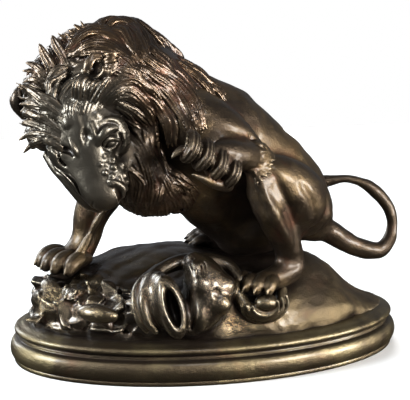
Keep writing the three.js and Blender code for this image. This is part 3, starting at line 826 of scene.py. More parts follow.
@dataclass
class Paw:
    """One paw: four toes side by side, each with knuckle, pad and claw."""

    centre: Point
    forward: Point
    across: Point
    size: float
    gap: float = 1.34
    claws: float = 1.0
    fur: float = 0.05
    toe: tuple[Point, ...] = ((-1.5, 0.30, 0.62), (-0.5, 0.50, 0.80), (0.45, 0.25, 0.78), (1.0, -0.25, 0.55))
    claw: tuple[Point, ...] = ((0.9, 0.30, 0.26), (1.35, 0.10, 0.22), (1.62, -0.28, 0.12),
                               (1.70, -0.50, 0.05))

    def build(self, clay: Clay) -> None:
        """Add the toes; the middle two reach a little further, and a groove stays between neighbours.

        Formula: toe and claw are stations of ahead, up and radius, in units of the size, from the toe's root.

        Args:
            clay: the body.
        """
        forward, across = unit(np.array(self.forward)), unit(np.array(self.across))
        up = unit(np.cross(across, forward))
        up = up if up[2] > 0 else -up
        s = self.size
        for k in range(4):
            reach = 0.35 if k in (1, 2) else -0.1
            root = np.array(self.centre) + across * (k - 1.5) * self.gap * s + forward * reach * s
            way = forward + across * (k - 1.5) * 0.10
            toe = tuple((*(root + way * a * s + up * u * s), r * s) for a, u, r in self.toe)
            clay.add(toe, soft=1.6, side=np.tile(across, (13, 1)), thin=0.96, ridges=4.0, groove=self.fur)
            nail = tuple((*(root + way * (a + (a - 0.9) * self.claws) * s * 0.8 + up * u * s), r * s)
                         for a, u, r in self.claw)
            clay.add(nail, soft=0.8)


@dataclass
class Body:
    """Trunk, legs, paws and tail, in one smooth skin."""

    cell: float = 1.1
    trunk: tuple[tuple[Stations, float], ...] = (
        (((-44, -6, 220, 40), (-18, -4, 216, 49), (14, 0, 206, 49), (44, 4, 187, 43), (70, 4, 163, 41),
          (93, 0, 138, 31), (106, -4, 121, 18)), 0.82),
        (((-46, 0, 254, 27), (-16, 2, 248, 25), (16, 3, 232, 25)), 0.8),
        (((-34, -8, 178, 27), (0, 4, 166, 29), (40, 12, 146, 27)), 1.0),
        (((-10, 0, 156, 22), (10, 8, 136, 24), (30, 10, 122, 24), (60, 8, 116, 24)), 1.0),
    )
    limbs: tuple[Stations, ...] = (
        ((-72, 18, 212, 32), (-90, 24, 168, 23), (-107, 27, 136, 17), (-114, 27, 108, 14), (-122, 24, 95, 14),
         (-134, 18, 90, 12)),
        ((-20, -32, 232, 33), (8, -46, 220, 25), (28, -52, 206, 17), (22, -68, 207, 14.5),
         (8, -80, 212, 13.5), (-8, -87, 214, 12)),
        ((89, -28, 146, 28), (72, -40, 164, 30), (47, -52, 182, 20), (50, -54, 158, 19), (64, -51, 126, 15),
         (72, -47, 104, 13), (70, -49, 94, 12)),
        ((74, -47, 92, 11), (56, -57, 88, 12), (42, -63, 86, 11)),
        ((88, 28, 146, 28), (60, 34, 144, 34), (34, 40, 134, 29), (24, 42, 118, 23), (38, 42, 108, 20),
         (64, 40, 104, 18)),
        ((56, 42, 102, 14), (26, 42, 101, 14), (6, 44, 99, 10)),
        ((70, 0, 128, 22), (48, 4, 116, 22), (30, 10, 110, 20)),
    )
    tail: Stations = ((104, -2, 122, 14), (124, 0, 110, 12), (142, 3, 98, 10.6), (161, 6, 89, 9.3),
                      (180, 9, 87, 8), (190.2, 11, 104, 7), (187, 14, 128, 6.4), (168, 18, 150, 5.7),
                      (146, 22, 158, 5.1), (126, 28, 155, 6), (104, 36, 149, 8), (84, 42, 146, 5))
    seed: int = 3
    swellings: tuple[tuple[Point, Point, tuple[Point, ...]], ...] = (
        ((64, -50, 168), (30, 14, 22), ((0.9, 0, -0.45), (0, 1, 0), (0.45, 0, 0.9))),
        ((88, -36, 150), (20, 14, 26), ((1, 0, 0), (0, 1, 0), (0, 0, 1))),
        ((91, 6, 178), (11, 18, 9), ((0.8, 0, -0.6), (0, 1, 0), (0.6, 0, 0.8))),
        ((50, -60, 182), (9, 7, 8), ((1, 0, 0), (0, 1, 0), (0, 0, 1))),
        ((24, 60, 150), (26, 12, 16), ((1, 0, 0), (0, 1, 0), (0, 0, 1))),
    )
    ridges: tuple[tuple[Stations, float], ...] = (
        (((35, -66, 188, 4.5), (38, -71, 176, 5), (47, -74, 156, 5), (57, -70, 138, 4.6),
          (66, -63, 122, 4)), 6),
        (((-84, 2, 160, 3), (-100, 4, 138, 4.5), (-112, 6, 116, 5), (-122, 2, 100, 4)), 5),
        (((-96, 40, 150, 3), (-108, 38, 130, 4), (-118, 36, 110, 4)), 5),
    )
    creases: tuple[tuple[tuple[Point, ...], float, float], ...] = (
        (((42, -62, 200), (50, -68, 186), (60, -68, 164), (69, -66, 144), (72, -62, 126)), 2.2, 4),
        (((104, -44, 160), (98, -50, 136), (86, -54, 120), (80, -56, 104)), 2.6, 4),
        (((74, -64, 176), (84, -60, 160), (90, -56, 140)), 1.8, 6),
        (((-6, -70, 236), (10, -70, 232), (26, -62, 222), (34, -56, 208)), 1.8, 4),
        (((20, -50, 214), (28, -50, 190), (27, -46, 170)), 1.6, 7),
        (((36, -46, 210), (44, -46, 188), (42, -42, 168)), 1.6, 7),
        (((50, -40, 204), (56, -42, 190), (52, -50, 180)), 1.6, 6),
        (((60, -64, 96), (70, -62, 98), (80, -54, 100)), 1.4, 3),
        (((-88, 6, 166), (-104, 8, 138), (-118, 10, 112), (-126, 10, 100)), 2.0, 5),
        (((-80, 0, 158), (-94, 0, 136), (-106, 2, 116), (-114, 4, 102)), 1.8, 5),
    )
    elbow_root: tuple[Point, ...] = ((20, -66, 222), (25, -68, 212), (26, -70, 202), (22, -76, 196))
    elbow_tip: tuple[Point, ...] = ((53, -55, 203), (51, -60, 196), (45, -65, 187), (34, -73, 181))
    paws: tuple[Paw, ...] = (
        Paw((-138, 12, 92), (-0.80, -0.60, 0), (0.60, -0.80, 0), 10.2, gap=1.25, claws=0.5),
        Paw((34, -66, 85), (-0.6, -0.8, 0), (0.8, -0.6, 0), 7.6),
        Paw((1, 46, 97), (-0.98, 0.1, 0), (0.1, 0.98, 0), 6.6),
    )
    raised_row: Point = (38.7, 9, -26)
    raised_toe: Stations = ((3, 15, 8, 6.0), (2, 5, 6, 7.3), (0, -1, 0, 7.8), (-3, 0, -6, 7.0),
                            (-5, 6, -10, 5.0))
    raised_knuckles: tuple[Point, ...] = ((-32, -104, 224.5), (-19.5, -102.5, 216.3), (-6.6, -99.5, 207),
                                          (6.0, -95, 198.6))
    raised_pads: tuple[Point, ...] = ((-12, -90, 201), (1, -86, 191), (-24, -93, 209))
    raised_claws: tuple[tuple[Stations, float], ...] = (
        (((-33, -100, 221, 5), (-40, -103, 223, 4.0), (-46, -105, 221, 2.6), (-50, -106, 217, 0.8)), 1),
        (((2, -88, 186, 6), (-10, -95, 190, 5), (-21, -100, 196, 3.4), (-31, -103, 201, 1.0)), 1.5),
    )

    def build(self) -> tuple[Clay, bpy.types.Object]:
        """Blend trunk, limbs, tail, muscles, paws and tufts.

        Returns:
            The clay and the piece.
        """
        clay = Clay((-172, -123, 68), (201, 80, 290), self.cell)
        spans = 3
        for stations, thin in self.trunk:
            side = np.tile(np.array([0, 0, 1], np.float32), ((len(stations) - 1) * spans + 1, 1))
            clay.add(stations, soft=14, spans=spans, side=side if thin < 1 else None, thin=thin)
        for stations in self.limbs:
            clay.add(stations, soft=7)
        clay.soften(14)
        clay.add(self.tail, soft=5)
        self.muscles(clay)
        clay.soften(3)
        for paw in self.paws:
            paw.build(clay)
        self.raised_paw(clay)
        self.tufts(clay)
        return clay, cast("lion_body", *clay.skin())

    def muscles(self, clay: Clay) -> None:
        """Swellings, ridges and creases of the limbs and flank, and the marks of the hand.

        Args:
            clay: the body.
        """
        for centre, half, axes in self.swellings:
            clay.blend(*clay.lump(centre, half, np.array(axes)), 6)
        for stations, soft in self.ridges:
            clay.add(stations, soft=soft)
        for line, depth, soft in self.creases:
            path = through(line, 4)
            for _ in range(3):
                path = path - clay.sample(path)[:, None] * unit(clay.slope(path, GRADIENT_STEP))
            radius = depth * np.sin(np.pi * np.linspace(0.04, 0.96, len(path)))
            clay.carve(np.column_stack([path, radius]), soft=soft, spans=1)
        clay.weather(self.seed, ((24.0, 1.1), (9.0, 0.6)))
        clay.soften(2)

    def raised_paw(self, clay: Clay) -> None:
        """The lifted forepaw: a row of four furrowed toes over their pads, and two claws.

        Args:
            clay: the body.
        """
        row = unit(np.array(self.raised_row))
        for knuckle in self.raised_knuckles:
            toe = through(np.array(self.raised_toe) + np.array((*knuckle, 0)), 4)
            clay.blend(*clay.tube(toe, np.tile(row, (len(toe), 1)), 0.95, 4.0, 0.30), 1.5)
        for pad in self.raised_pads:
            clay.blend(*clay.lump(pad, (7, 7, 6)), 3)
        for stations, soft in self.raised_claws:
            clay.add(stations, soft=soft)

    def tufts(self, clay: Clay) -> None:
        """Pointed hair behind the elbow, and the tuft that ends the tail.

        Args:
            clay: the body.
        """
        comb = Comb(ridges=3, groove=0.30, thin=0.6, soft=1.0)
        t = np.linspace(0, 1, 8)[:, None, None]
        fan = np.linspace(0, 1, 10)
        rows = [np.column_stack([np.interp(fan, np.linspace(0, 1, len(part)), part[:, k]) for k in range(3)])
                for part in (np.array(self.elbow_root, np.float32), np.array(self.elbow_tip, np.float32))]
        lines = (rows[0][None] * (1 - t) + rows[1][None] * t).transpose(1, 0, 2).astype(np.float32)
        for _ in range(2):
            over = clay.sample(lines) - 4.0 * t[None, :, 0, 0] + 0.5
            lines = lines - over[..., None] * unit(clay.slope(lines, GRADIENT_STEP))
        comb.lay(clay, clay, lines.astype(np.float32), np.full(len(lines), 3.4))
        tail = through(np.array([p[:3] for p in self.tail[-4:]], np.float32), 3)
        turn = np.linspace(0, 2 * np.pi, 7)[:-1]
        ring = np.stack([0.3 * np.cos(turn), np.cos(turn), np.sin(turn)], 1).astype(np.float32)
        swell = (5.2 * np.sin(np.pi * np.linspace(0.05, 0.92, len(tail))))[None, :, None]
        comb.lay(clay, clay, (tail[None] + ring[:, None] * swell).astype(np.float32), np.full(6, 4.4))


# The head

BOTH = (1, -1)
LEFT = (1,)
RIGHT = (-1,)


@dataclass(frozen=True)
class Swelling:
    """An ellipsoid put on the face or pressed into it, in the head's own frame."""

    centre: Point
    half: Point
    soft: float
    cut: bool = False
    sides: tuple[int, ...] = BOTH

    def model(self, head: "Head", clay: Clay) -> None:
        """Blend or cut it on its sides of the face; one on the middle line is made once.

        Args:
            head: gives the frame.
            clay: what is modelled.
        """
        ahead, left, up = self.centre
        work = clay.cut if self.cut else clay.blend
        for side in self.sides if left else LEFT:
            middle = head.place(((ahead, left * side, up),))[0]
            work(*clay.lump(middle, self.half, head.axes(), reach=self.soft + 3), self.soft)


@dataclass(frozen=True)
class Stroke:
    """A fine ridge or groove along stations of ahead, left, up and radius, in the head's own frame."""

    stations: Stations
    soft: float
    cut: bool = False
    sides: tuple[int, ...] = LEFT
    sink: float | None = None

    def model(self, head: "Head", clay: Clay) -> None:
        """Add or carve it. With sink, it is carved along a path first drawn to that depth in the surface.

        Args:
            head: gives the frame.
            clay: what is modelled.
        """
        for side in self.sides:
            path = head.place(np.asarray(self.stations, np.float32) * np.array([1, side, 1, 1], np.float32))
            if self.sink is None:
                (clay.carve if self.cut else clay.add)(path, soft=self.soft)
                continue
            path = through(path, 4)
            for _ in range(4):
                at = path[:, :3]
                path[:, :3] -= (clay.sample(at) + self.sink)[:, None] * unit(clay.slope(at, GRADIENT_STEP))
            clay.carve(path, soft=self.soft, spans=1)


@dataclass
class Head:
    """The bowed head: skull, muzzle, jaw, brows, eyes and ears, in a frame of its own.

    Local numbers are ahead (towards the nose), left (the lion's left) and up (out of the face).
    """

    between_eyes: Point = (-116, -66, 224)
    tilt: float = 14
    pitch: float = 14
    cell: float = 0.75
    skull: Stations = ((-34, 0, -26, 26), (-18, 0, -24, 31), (-2, 0, -22, 27))
    bridge: Stations = ((-18, 0, -5, 15), (-4, 0, -4, 15), (12, 0, -3, 15), (28, 0, -3, 14),
                        (42, 0, -4, 11.5))
    muzzle: Stations = ((4, 0, -22, 24), (22, 0, -18, 21), (38, 0, -15, 17))
    jaw: Stations = ((0, 0, -39, 22), (26, 0, -36, 18), (42, 0, -31, 14.5))
    cheek: Swelling = Swelling((-1, 27, -15), (18, 10, 14), 8)
    features: tuple[Swelling | Stroke, ...] = (
        # muzzle on the left and on the right, its front, chin and blunt nose
        Swelling((35, 13, -8), (16, 12, 12), 5, sides=LEFT),
        Swelling((35, 10, -8), (17, 11, 12), 5, sides=RIGHT),
        Swelling((17, 15, -12), (21, 13, 12), 8, sides=RIGHT),
        Swelling((50, 0, -10), (10, 13, 12), 5),
        Swelling((52, 0, -28), (8, 11, 8), 4),
        Swelling((46, 0, -2.5), (14, 15, 8), 6),
        # the near brow in a bold V, the ridge over it, and the folds that part them
        Stroke(((1, 7.5, 4.6, 3.0), (-3, 12, 6.2, 4.2), (-7, 18, 5.6, 4.6), (-7, 25, 1.4, 3.6)), 2),
        Stroke(((2, 7, 4.6, 2.4), (-6, 6, 6.4, 3.0), (-15, 5.6, 6.0, 2.4)), 2.5),
        Stroke(((-13, 14, 2.6, 2.2), (-15, 21, 0.6, 3.0), (-12, 28, -3.4, 3.2), (-6, 31, -7.5, 3.0)), 3),
        Swelling((-22, 13, 1.5), (4.5, 4, 4), 3),
        Stroke(((-7, 9, 8.5, 0.8), (-11, 13, 8, 1.7), (-13, 20, 6, 1.9), (-9, 28, 1, 1.2)), 2, cut=True),
        Swelling((-7, 0, 10), (4.5, 3, 4.2), 3, cut=True),
        Stroke(((-10, 0, 9.5, 1.0), (-18, 1, 9.2, 1.4), (-25, 1, 7, 0.8)), 2.5, cut=True, sides=BOTH),
        # the nostrils
        Stroke(((37, 8, 5.5, 1.8), (40, 13, 4.2, 2.8), (46, 17, 1.4, 3.0), (52, 15, -1.5, 2.4)), 2),
        Stroke(((44, 9, 6.5, 0.8), (47.5, 12, 4.2, 2.2), (52, 12.4, 1, 2.4), (56, 9.5, -3, 1.2)), 1,
               cut=True),
        Stroke(((50, -11, 2, 0.6), (53, -12.5, -1, 1.3), (56, -10, -5, 0.8)), 1.5, sink=0.0),
        # the lips and the line of the mouth, near side and far side
        Stroke(((54, 11.5, -14, 1.4), (42, 20.5, -14, 1.6), (26, 23.5, -17, 1.8), (12, 29, -21, 1.8),
                (0, 33, -25, 1.2)), 2.5),
        Stroke(((60, 0, -19, 1.6), (55, 11, -20, 2.2), (42, 20, -21, 3.0), (26, 24, -23.5, 3.4),
                (12, 29, -27, 3.0), (2, 33, -30, 1.8)), 1.5, cut=True),
        Stroke(((58, -8, -21, 4), (49, -17, -20, 5), (36, -23, -20, 5.5), (24, -28, -21, 5.5),
                (12, -34, -25, 5), (0, -38, -28, 4)), 3),
        Stroke(((60, -3, -11, 1.2), (51, -10.5, -9, 1.8), (41, -14.5, -7, 2.2), (32, -17, -6, 2.6),
                (22, -21, -8, 2.8), (12, -26, -13, 2.8), (2, -31, -18, 2.2), (-6, -34, -22, 1.2)), 1,
               sink=2.0),
    )
    pads: Stations = ((22, 8, 2.4, 3.0), (26, 14.5, 1.6, 3.4), (33, 10.5, 3.2, 3.2), (35.5, 20.5, -1.4, 3.6),
                      (26.5, 22, -3.7, 3.2), (19.5, 15.5, -0.8, 2.8), (41, 21.5, -5.2, 3.2),
                      (31, 24, -8.2, 3.0), (47, 19, -7.2, 3.0), (37, 15.5, 2.2, 2.4), (28.5, 6.0, 4.4, 2.6),
                      (20.5, 4.0, 4.6, 2.2), (39.5, 9.0, 4.8, 2.6), (14.5, 9.0, 2.8, 2.4))
    eyes: tuple[Swelling | Stroke, ...] = (
        # the near socket, eyeball, heavy upper lid and thin lower lid
        Swelling((5, 17.5, 1.8), (6.5, 8, 5.2), 2.5, cut=True, sides=LEFT),
        Swelling((5.0, 17.8, -3.2), (4.6, 5.4, 4.6), 0.8, sides=LEFT),
        Stroke(((7.5, 10.5, 0.6, 0.8), (2.8, 13.5, 2.2, 2.1), (1.2, 18.5, 1.8, 2.4),
                (4.5, 25.5, -2.4, 1.2)), 1),
        Stroke(((8, 10.8, 0.4, 0.9), (9.8, 15, -1.2, 1.4), (9.4, 20, -2.4, 1.5), (5, 25.5, -3.4, 1.0)), 1),
        # the far eye's slit, the furrow between the brows, the ridge beside the far eye, the hollow below
        Stroke(((6, -16.5, 0, 0.9), (2, -19, 0, 2.2), (-1, -23, -2, 2.6), (-3, -29, -6, 1.6)), 3, sink=1.4),
        Stroke(((-11, -1.5, 6, 0.6), (-6, -2, 6, 2.0), (0, -3.5, 6, 0.6)), 4, sink=-0.2),
        Stroke(((-7, -15.5, 3.6, 1.0), (-2, -14.6, 4.0, 1.9), (3, -13.6, 3.8, 2.1),
                (8, -12.6, 2.6, 1.2)), 1.5),
        Stroke(((0, 28, -3.5, 0.8), (8, 27.5, -5.5, 1.5), (15, 21, -5, 1.2)), 4, cut=True, sides=BOTH),
    )
    ear_at: Point = (-105, -46, 288)
    ear_out: Point = (0.25, -0.30, 0.92)
    ear_front: Point = (-0.40, -0.88, -0.2)
    far_ear: Stations = ((-170, -18, 240, 3), (-175, -18, 251, 6), (-175, -18, 259, 5.5),
                         (-171.5, -18, 268, 0.8))
    forehead_hair: int = 20
    cheek_hair: int = 8

    def axes(self) -> np.ndarray:
        """Ahead, left and up as rows: the face turned by its tilt in the viewer's plane and pitched down.

        Returns:
            The three unit vectors.
        """
        tilt, pitch = np.radians(self.tilt), np.radians(self.pitch)
        left = np.array([np.cos(tilt), 0, np.sin(tilt)])
        ahead = np.array([np.sin(tilt), 0, -np.cos(tilt)]) * np.cos(pitch) - np.array([0, np.sin(pitch), 0])
        return np.stack([ahead, left, np.cross(ahead, left)]).astype(np.float32)

    def place(self, stations: Path) -> np.ndarray:
        """Local stations taken to the model's frame.

        Args:
            stations: ahead, left and up, with or without a radius.
        Returns:
            x, y and z, with the radius where there is one.
        """
        local = np.asarray(stations, np.float32)
        world = local[:, :3] @ self.axes() + np.array(self.between_eyes, np.float32)
        return np.column_stack([world, local[:, 3:]])

    def build(self) -> tuple[Clay, bpy.types.Object]:
        """Model the head.

        Returns:
            The clay and the piece.
        """
        clay = Clay((-190, -112, 148), (-62, 8, 306), self.cell)
        wide = self.axes()[1]
        for stations, thin, soft in ((self.skull, 1.0, 8), (self.bridge, 0.62, 8), (self.muzzle, 0.85, 8),
                                     (self.jaw, 0.72, 5)):
            path = through(self.place(stations), 4)
            side = np.tile(wide, (len(path), 1))
            clay.blend(*clay.tube(path, side, thin, reach=soft + 3), soft)
        self.cheek.model(self, clay)
        clay.soften(8)
        pads = tuple(Swelling(tuple(at), (size,) * 3, 1.5, sides=LEFT) for *at, size in self.pads)
        for touch in self.features + pads + self.eyes:
            touch.model(self, clay)
        self.short_hair(clay)
        self.ear(clay)
        clay.add(self.far_ear, soft=2)
        return clay, cast("lion_head", *clay.skin())

    def short_hair(self, clay: Clay) -> None:
        """Fine low hair on forehead and cheeks, its strands drawn onto the surface.

        Formula: on the forehead, w across, from 0.012 w^2 - 17 back to 0.01 w^2 - 52; on each cheek, d down,
        from 26 - 0.22 d out to 38 - 0.16 d, 12 further back.

        Args:
            clay: the head.
        """
        wide = np.linspace(-24, 24, self.forehead_hair)
        starts = [np.column_stack([-17 + 0.012 * wide**2, wide, 6 - 0.012 * wide**2])]
        ends = [np.column_stack([-52 + 0.01 * wide**2, 1.3 * wide + 3, 0 - 0.02 * wide**2])]
        down = np.linspace(-8, 30, self.cheek_hair)
        for side in BOTH:
            starts.append(np.column_stack([down, side * (26 - 0.22 * down), -4 - 0.2 * down]))
            ends.append(np.column_stack([down - 12, side * (38 - 0.16 * down), -14 - 0.2 * down]))
        start, end = self.place(np.vstack(starts)), self.place(np.vstack(ends))
        t = np.linspace(0, 1, 8)[None, :, None]
        lines = (start[:, None] * (1 - t) + end[:, None] * t).astype(np.float32)
        for _ in range(3):
            lines = lines - clay.sample(lines)[..., None] * unit(clay.slope(lines, GRADIENT_STEP))
        Comb(ridges=2, groove=0.42, thin=0.45, soft=1.2).lay(clay, clay, lines, np.full(len(lines), 2.3))

    def ear(self, clay: Clay) -> None:
        """The near ear: a flattened shell along its direction out, hollowed towards its front, with tufts.

        Args:
            clay: the head.
        """
        at, out, front = np.array(self.ear_at), unit(np.array(self.ear_out)), np.array(self.ear_front)
        side = unit(np.cross(front, out))
        front = unit(np.cross(out, side))
        axes = np.stack([out, side, front])
        clay.blend(*clay.lump(at, (13, 12, 9), axes), 3)
        clay.cut(*clay.lump(at + out * 1.5 + front * 7.0 - side * 1.5, (10.2, 9.2, 15.0), axes), 2)
        t = np.linspace(0, 1, 6)[None, :, None]
        fan = np.linspace(-1, 1, 4)[:, None, None]
        bow = front * (8 + 2 * np.sin(2.6 * t) - 3 * t)
        lines = (at - out * 12 + out * (10 * t) + side * (8 + 2 * fan) + bow).astype(np.float32)
        Comb(ridges=2, groove=0.3, thin=0.7, soft=0.8).lay(clay, clay, lines, np.full(4, 2.8))


# The base

@dataclass
class Plinth:
    """The oval moulded plinth: one profile carried round an oval, inset evenly."""

    length: float = 380
    width: float = 196
    ledge: float = 39.5
    around: int = 320

    def profile(self) -> np.ndarray:
        """The moulding, from the middle of the underside up to the middle of the ledge.

        Returns:
            Inset and height, (points, 2).
        """

        def bead(inset: float, z: float, depth: float, half: float, first: float, last: float,
                 steps: int) -> np.ndarray:
            """Part of an oval bead: inset - depth cos(a), z + half sin(a), a in degrees."""
            a = np.radians(np.linspace(first, last, steps))
            return np.column_stack([inset - depth * np.cos(a), z + half * np.sin(a)])

        return np.vstack([
            [(97.0, 0), (12, 0), (5.2, 0), (4.2, 0.3), (3.8, 1.0), (3.8, 3.6), (4.2, 4.2)],
            bead(6.6, 13.7, 6.6, 10.2, -68, 66, 26), [(7.4, 23.9), (8.3, 24.3), (8.5, 25.0), (8.6, 26.6)],
            [(9.1, 27.2), (9.9, 27.5), (10.2, 28.2)], bead(9.6, 32.4, 5.2, 3.9, -62, 72, 14),
            [(9.4, 36.6), (10.6, 36.9), (12.4, 38.0), (15, 38.9), (18.5, 39.4), (24, 39.5), (40, 39.5),
             (97, 39.5)],
        ]).astype(np.float32)

    def build(self) -> bpy.types.Object:
        """Carry the profile round and close it at both poles.

        Formula: x = (length/2 - inset) cos a, y = (width/2 - inset) sin a.

        Returns:
            The piece.
        """
        inset, z = self.profile().T
        a = np.linspace(0, 2 * np.pi, self.around, endpoint=False)[:, None]
        x = np.maximum(self.length / 2 - inset, 0) * np.cos(a)
        y = np.maximum(self.width / 2 - inset, 0) * np.sin(a)
        points = np.stack([x, y, np.broadcast_to(z, x.shape)], -1)
        rows, columns = np.arange(self.around)[:, None], np.arange(len(z) - 1)[None]
        here, there = rows * len(z) + columns, (rows + 1) % self.around * len(z) + columns
        quads = np.stack([here, there, there + 1, here + 1], -1).reshape(-1, 4)
        ends = [np.arange(self.around) * len(z), np.arange(self.around)[::-1] * len(z) + len(z) - 1]
        flat = points.reshape(-1, 3)
        poles = np.array([[0, 0, z[0]], [0, 0, z[-1]]], np.float32)
        fans = []
        for pole, ring in enumerate(ends):
            fans.append(np.stack([np.full(self.around, len(flat) + pole), np.roll(ring, -1), ring], -1))
        piece = cast("plinth", np.vstack([flat, poles]), quads, *fans)
        piece.data.set_sharp_from_angle(angle=np.radians(50))
        return piece


@dataclass
class Serpent:
    """The serpent under the lion: gaping head in the hollow, arched neck, coils and a trailing tail."""

    skull: Stations = ((-22, -58, 108, 9), (-16, -64, 97, 17), (-12, -68, 83, 22), (-17, -72, 67, 20),
                       (-28, -77, 55, 13))
    jaw: Stations = ((-56, -70, 98, 6), (-60, -72, 84, 10), (-56, -76, 68, 11), (-44, -80, 54, 9))
    mouth: Point = (-48, -84, 75)
    mouth_long: Point = (-7.5, 7.5, 25)
    mouth_wide: Point = (12, 0, 3)
    tongue: Stations = ((-40, -70, 58, 2.5), (-42, -75, 70, 3.0), (-46, -73, 82, 2.0), (-49, -70, 88, 1.0))
    bands: tuple[Stations, ...] = (
        ((-62, -83, 52, 3), (-70, -82, 64, 3.6), (-72, -75, 82, 4.4), (-62, -62, 96, 5.6), (-40, -48, 103, 7),
         (-14, -42, 103, 8), (10, -45, 98, 7), (20, -58, 88, 6)),
        ((-70, -80, 52, 2.4), (-77, -79, 62, 2.8), (-80, -72, 78, 3.0), (-74, -62, 91, 3.4),
         (-56, -50, 100, 4)),
        ((14, -64, 84, 6), (22, -76, 68, 6.5), (38, -79, 59, 6.5), (54, -75, 65, 6), (60, -62, 76, 5)),
        ((112, 2, 58, 3), (114, 26, 67, 7), (82, 52, 70, 7.5), (36, 64, 74, 6.6), (-12, 66, 72, 5.2),
         (-48, 68, 66, 3.6)),
    )
    swellings: tuple[tuple[Point, Point, float], ...] = (
        ((-21, -80, 92), (8, 8, 11), 4), ((-2, -84, 74), (9, 9, 10), 5), ((4, -74, 88), (9, 10, 10), 5),
        ((-22, -88, 64), (5, 6, 13), 4), ((-24, -72, 104), (6, 8, 9), 4), ((41, -78, 71), (11, 9, 8), 2),
    )
    pits: tuple[tuple[Point, Point, float], ...] = (
        ((-6, -92, 88), (5, 5, 5.5), 3), ((-24, -95, 78), (3, 4, 4), 2.5),
    )
    folds: tuple[Stations, ...] = (
        ((-30, -84, 90, 0.8), (-28, -90, 78, 1.6), (-29, -90, 66, 1.4), (-30, -88, 54, 0.8)),
        ((-12, -86, 104, 0.8), (-11, -90, 96, 1.2), (-14, -92, 84, 0.8)),
        ((-14, -93, 74, 0.8), (-12, -93, 64, 1.3), (-16, -90, 54, 0.8)),
    )
    crown_lines: int = 4
    coils: int = 3
    coil_middle: Point = (39, -84, 70)

    def add(self, clay: Clay) -> None:
        """Model the serpent into the ground.

        Formula: the coils are arcs round their middle, each 5 mm wider and 2 mm further back than the last.

        Args:
            clay: the ground.
        """
        for stations in self.bands:
            clay.add(stations, soft=4, spans=5)
        clay.add(self.jaw, soft=5)
        clay.add(self.skull, soft=6)
        self.gape(clay)
        for centre, half, soft in self.swellings:
            clay.blend(*clay.lump(centre, half), soft)
        for centre, half, soft in self.pits:
            clay.cut(*clay.lump(centre, half), soft)
        for fold in self.folds:
            clay.carve(fold, soft=2.2)
        for k in range(self.crown_lines):
            x = -28 + 4.0 * k
            clay.carve(((x, -66, 113, 0.4), (x + 1.0, -76, 108, 0.8), (x + 1.5, -84, 101, 0.5)), soft=1.5)
        turn = np.linspace(np.pi, 2 * np.pi + 0.4, 10)
        x, y, z = self.coil_middle
        for k in range(self.coils):
            r = 12 + 5 * k
            back, radius = np.full(len(turn), y + 2.0 * k), np.full(len(turn), 1.5)
            coil = np.column_stack([x + r * np.cos(turn), back, z + r * 0.8 * np.sin(turn), radius])
            clay.add(coil, soft=2.0, spans=2)

    def gape(self, clay: Clay) -> None:
        """The open mouth: a fleshy cup, long and leaning, with a deep oval hollow that ends in points.

        Args:
            clay: the ground.
        """
        middle, long, wide = (np.array(v, np.float32) for v in (self.mouth, self.mouth_long, self.mouth_wide))
        axes = unit(np.stack([wide, np.cross(long, wide), long]))
        clay.blend(*clay.lump(middle, (13.5, 14, 30), axes), 4)
        clay.cut(*clay.lump(middle + np.array([1.0, -8, 1]), (5.0, 15, 17), axes), 5)
        front = middle - 11 * axes[1] * np.sign(axes[1, 1])
        cleft = np.array([front + axes[2] * t for t in (-25, -12, 0, 12, 25)])
        clay.carve(np.column_stack([cleft, (0.3, 3.2, 5.0, 3.2, 0.3)]), soft=3.5)
        clay.add(self.tongue, soft=6)


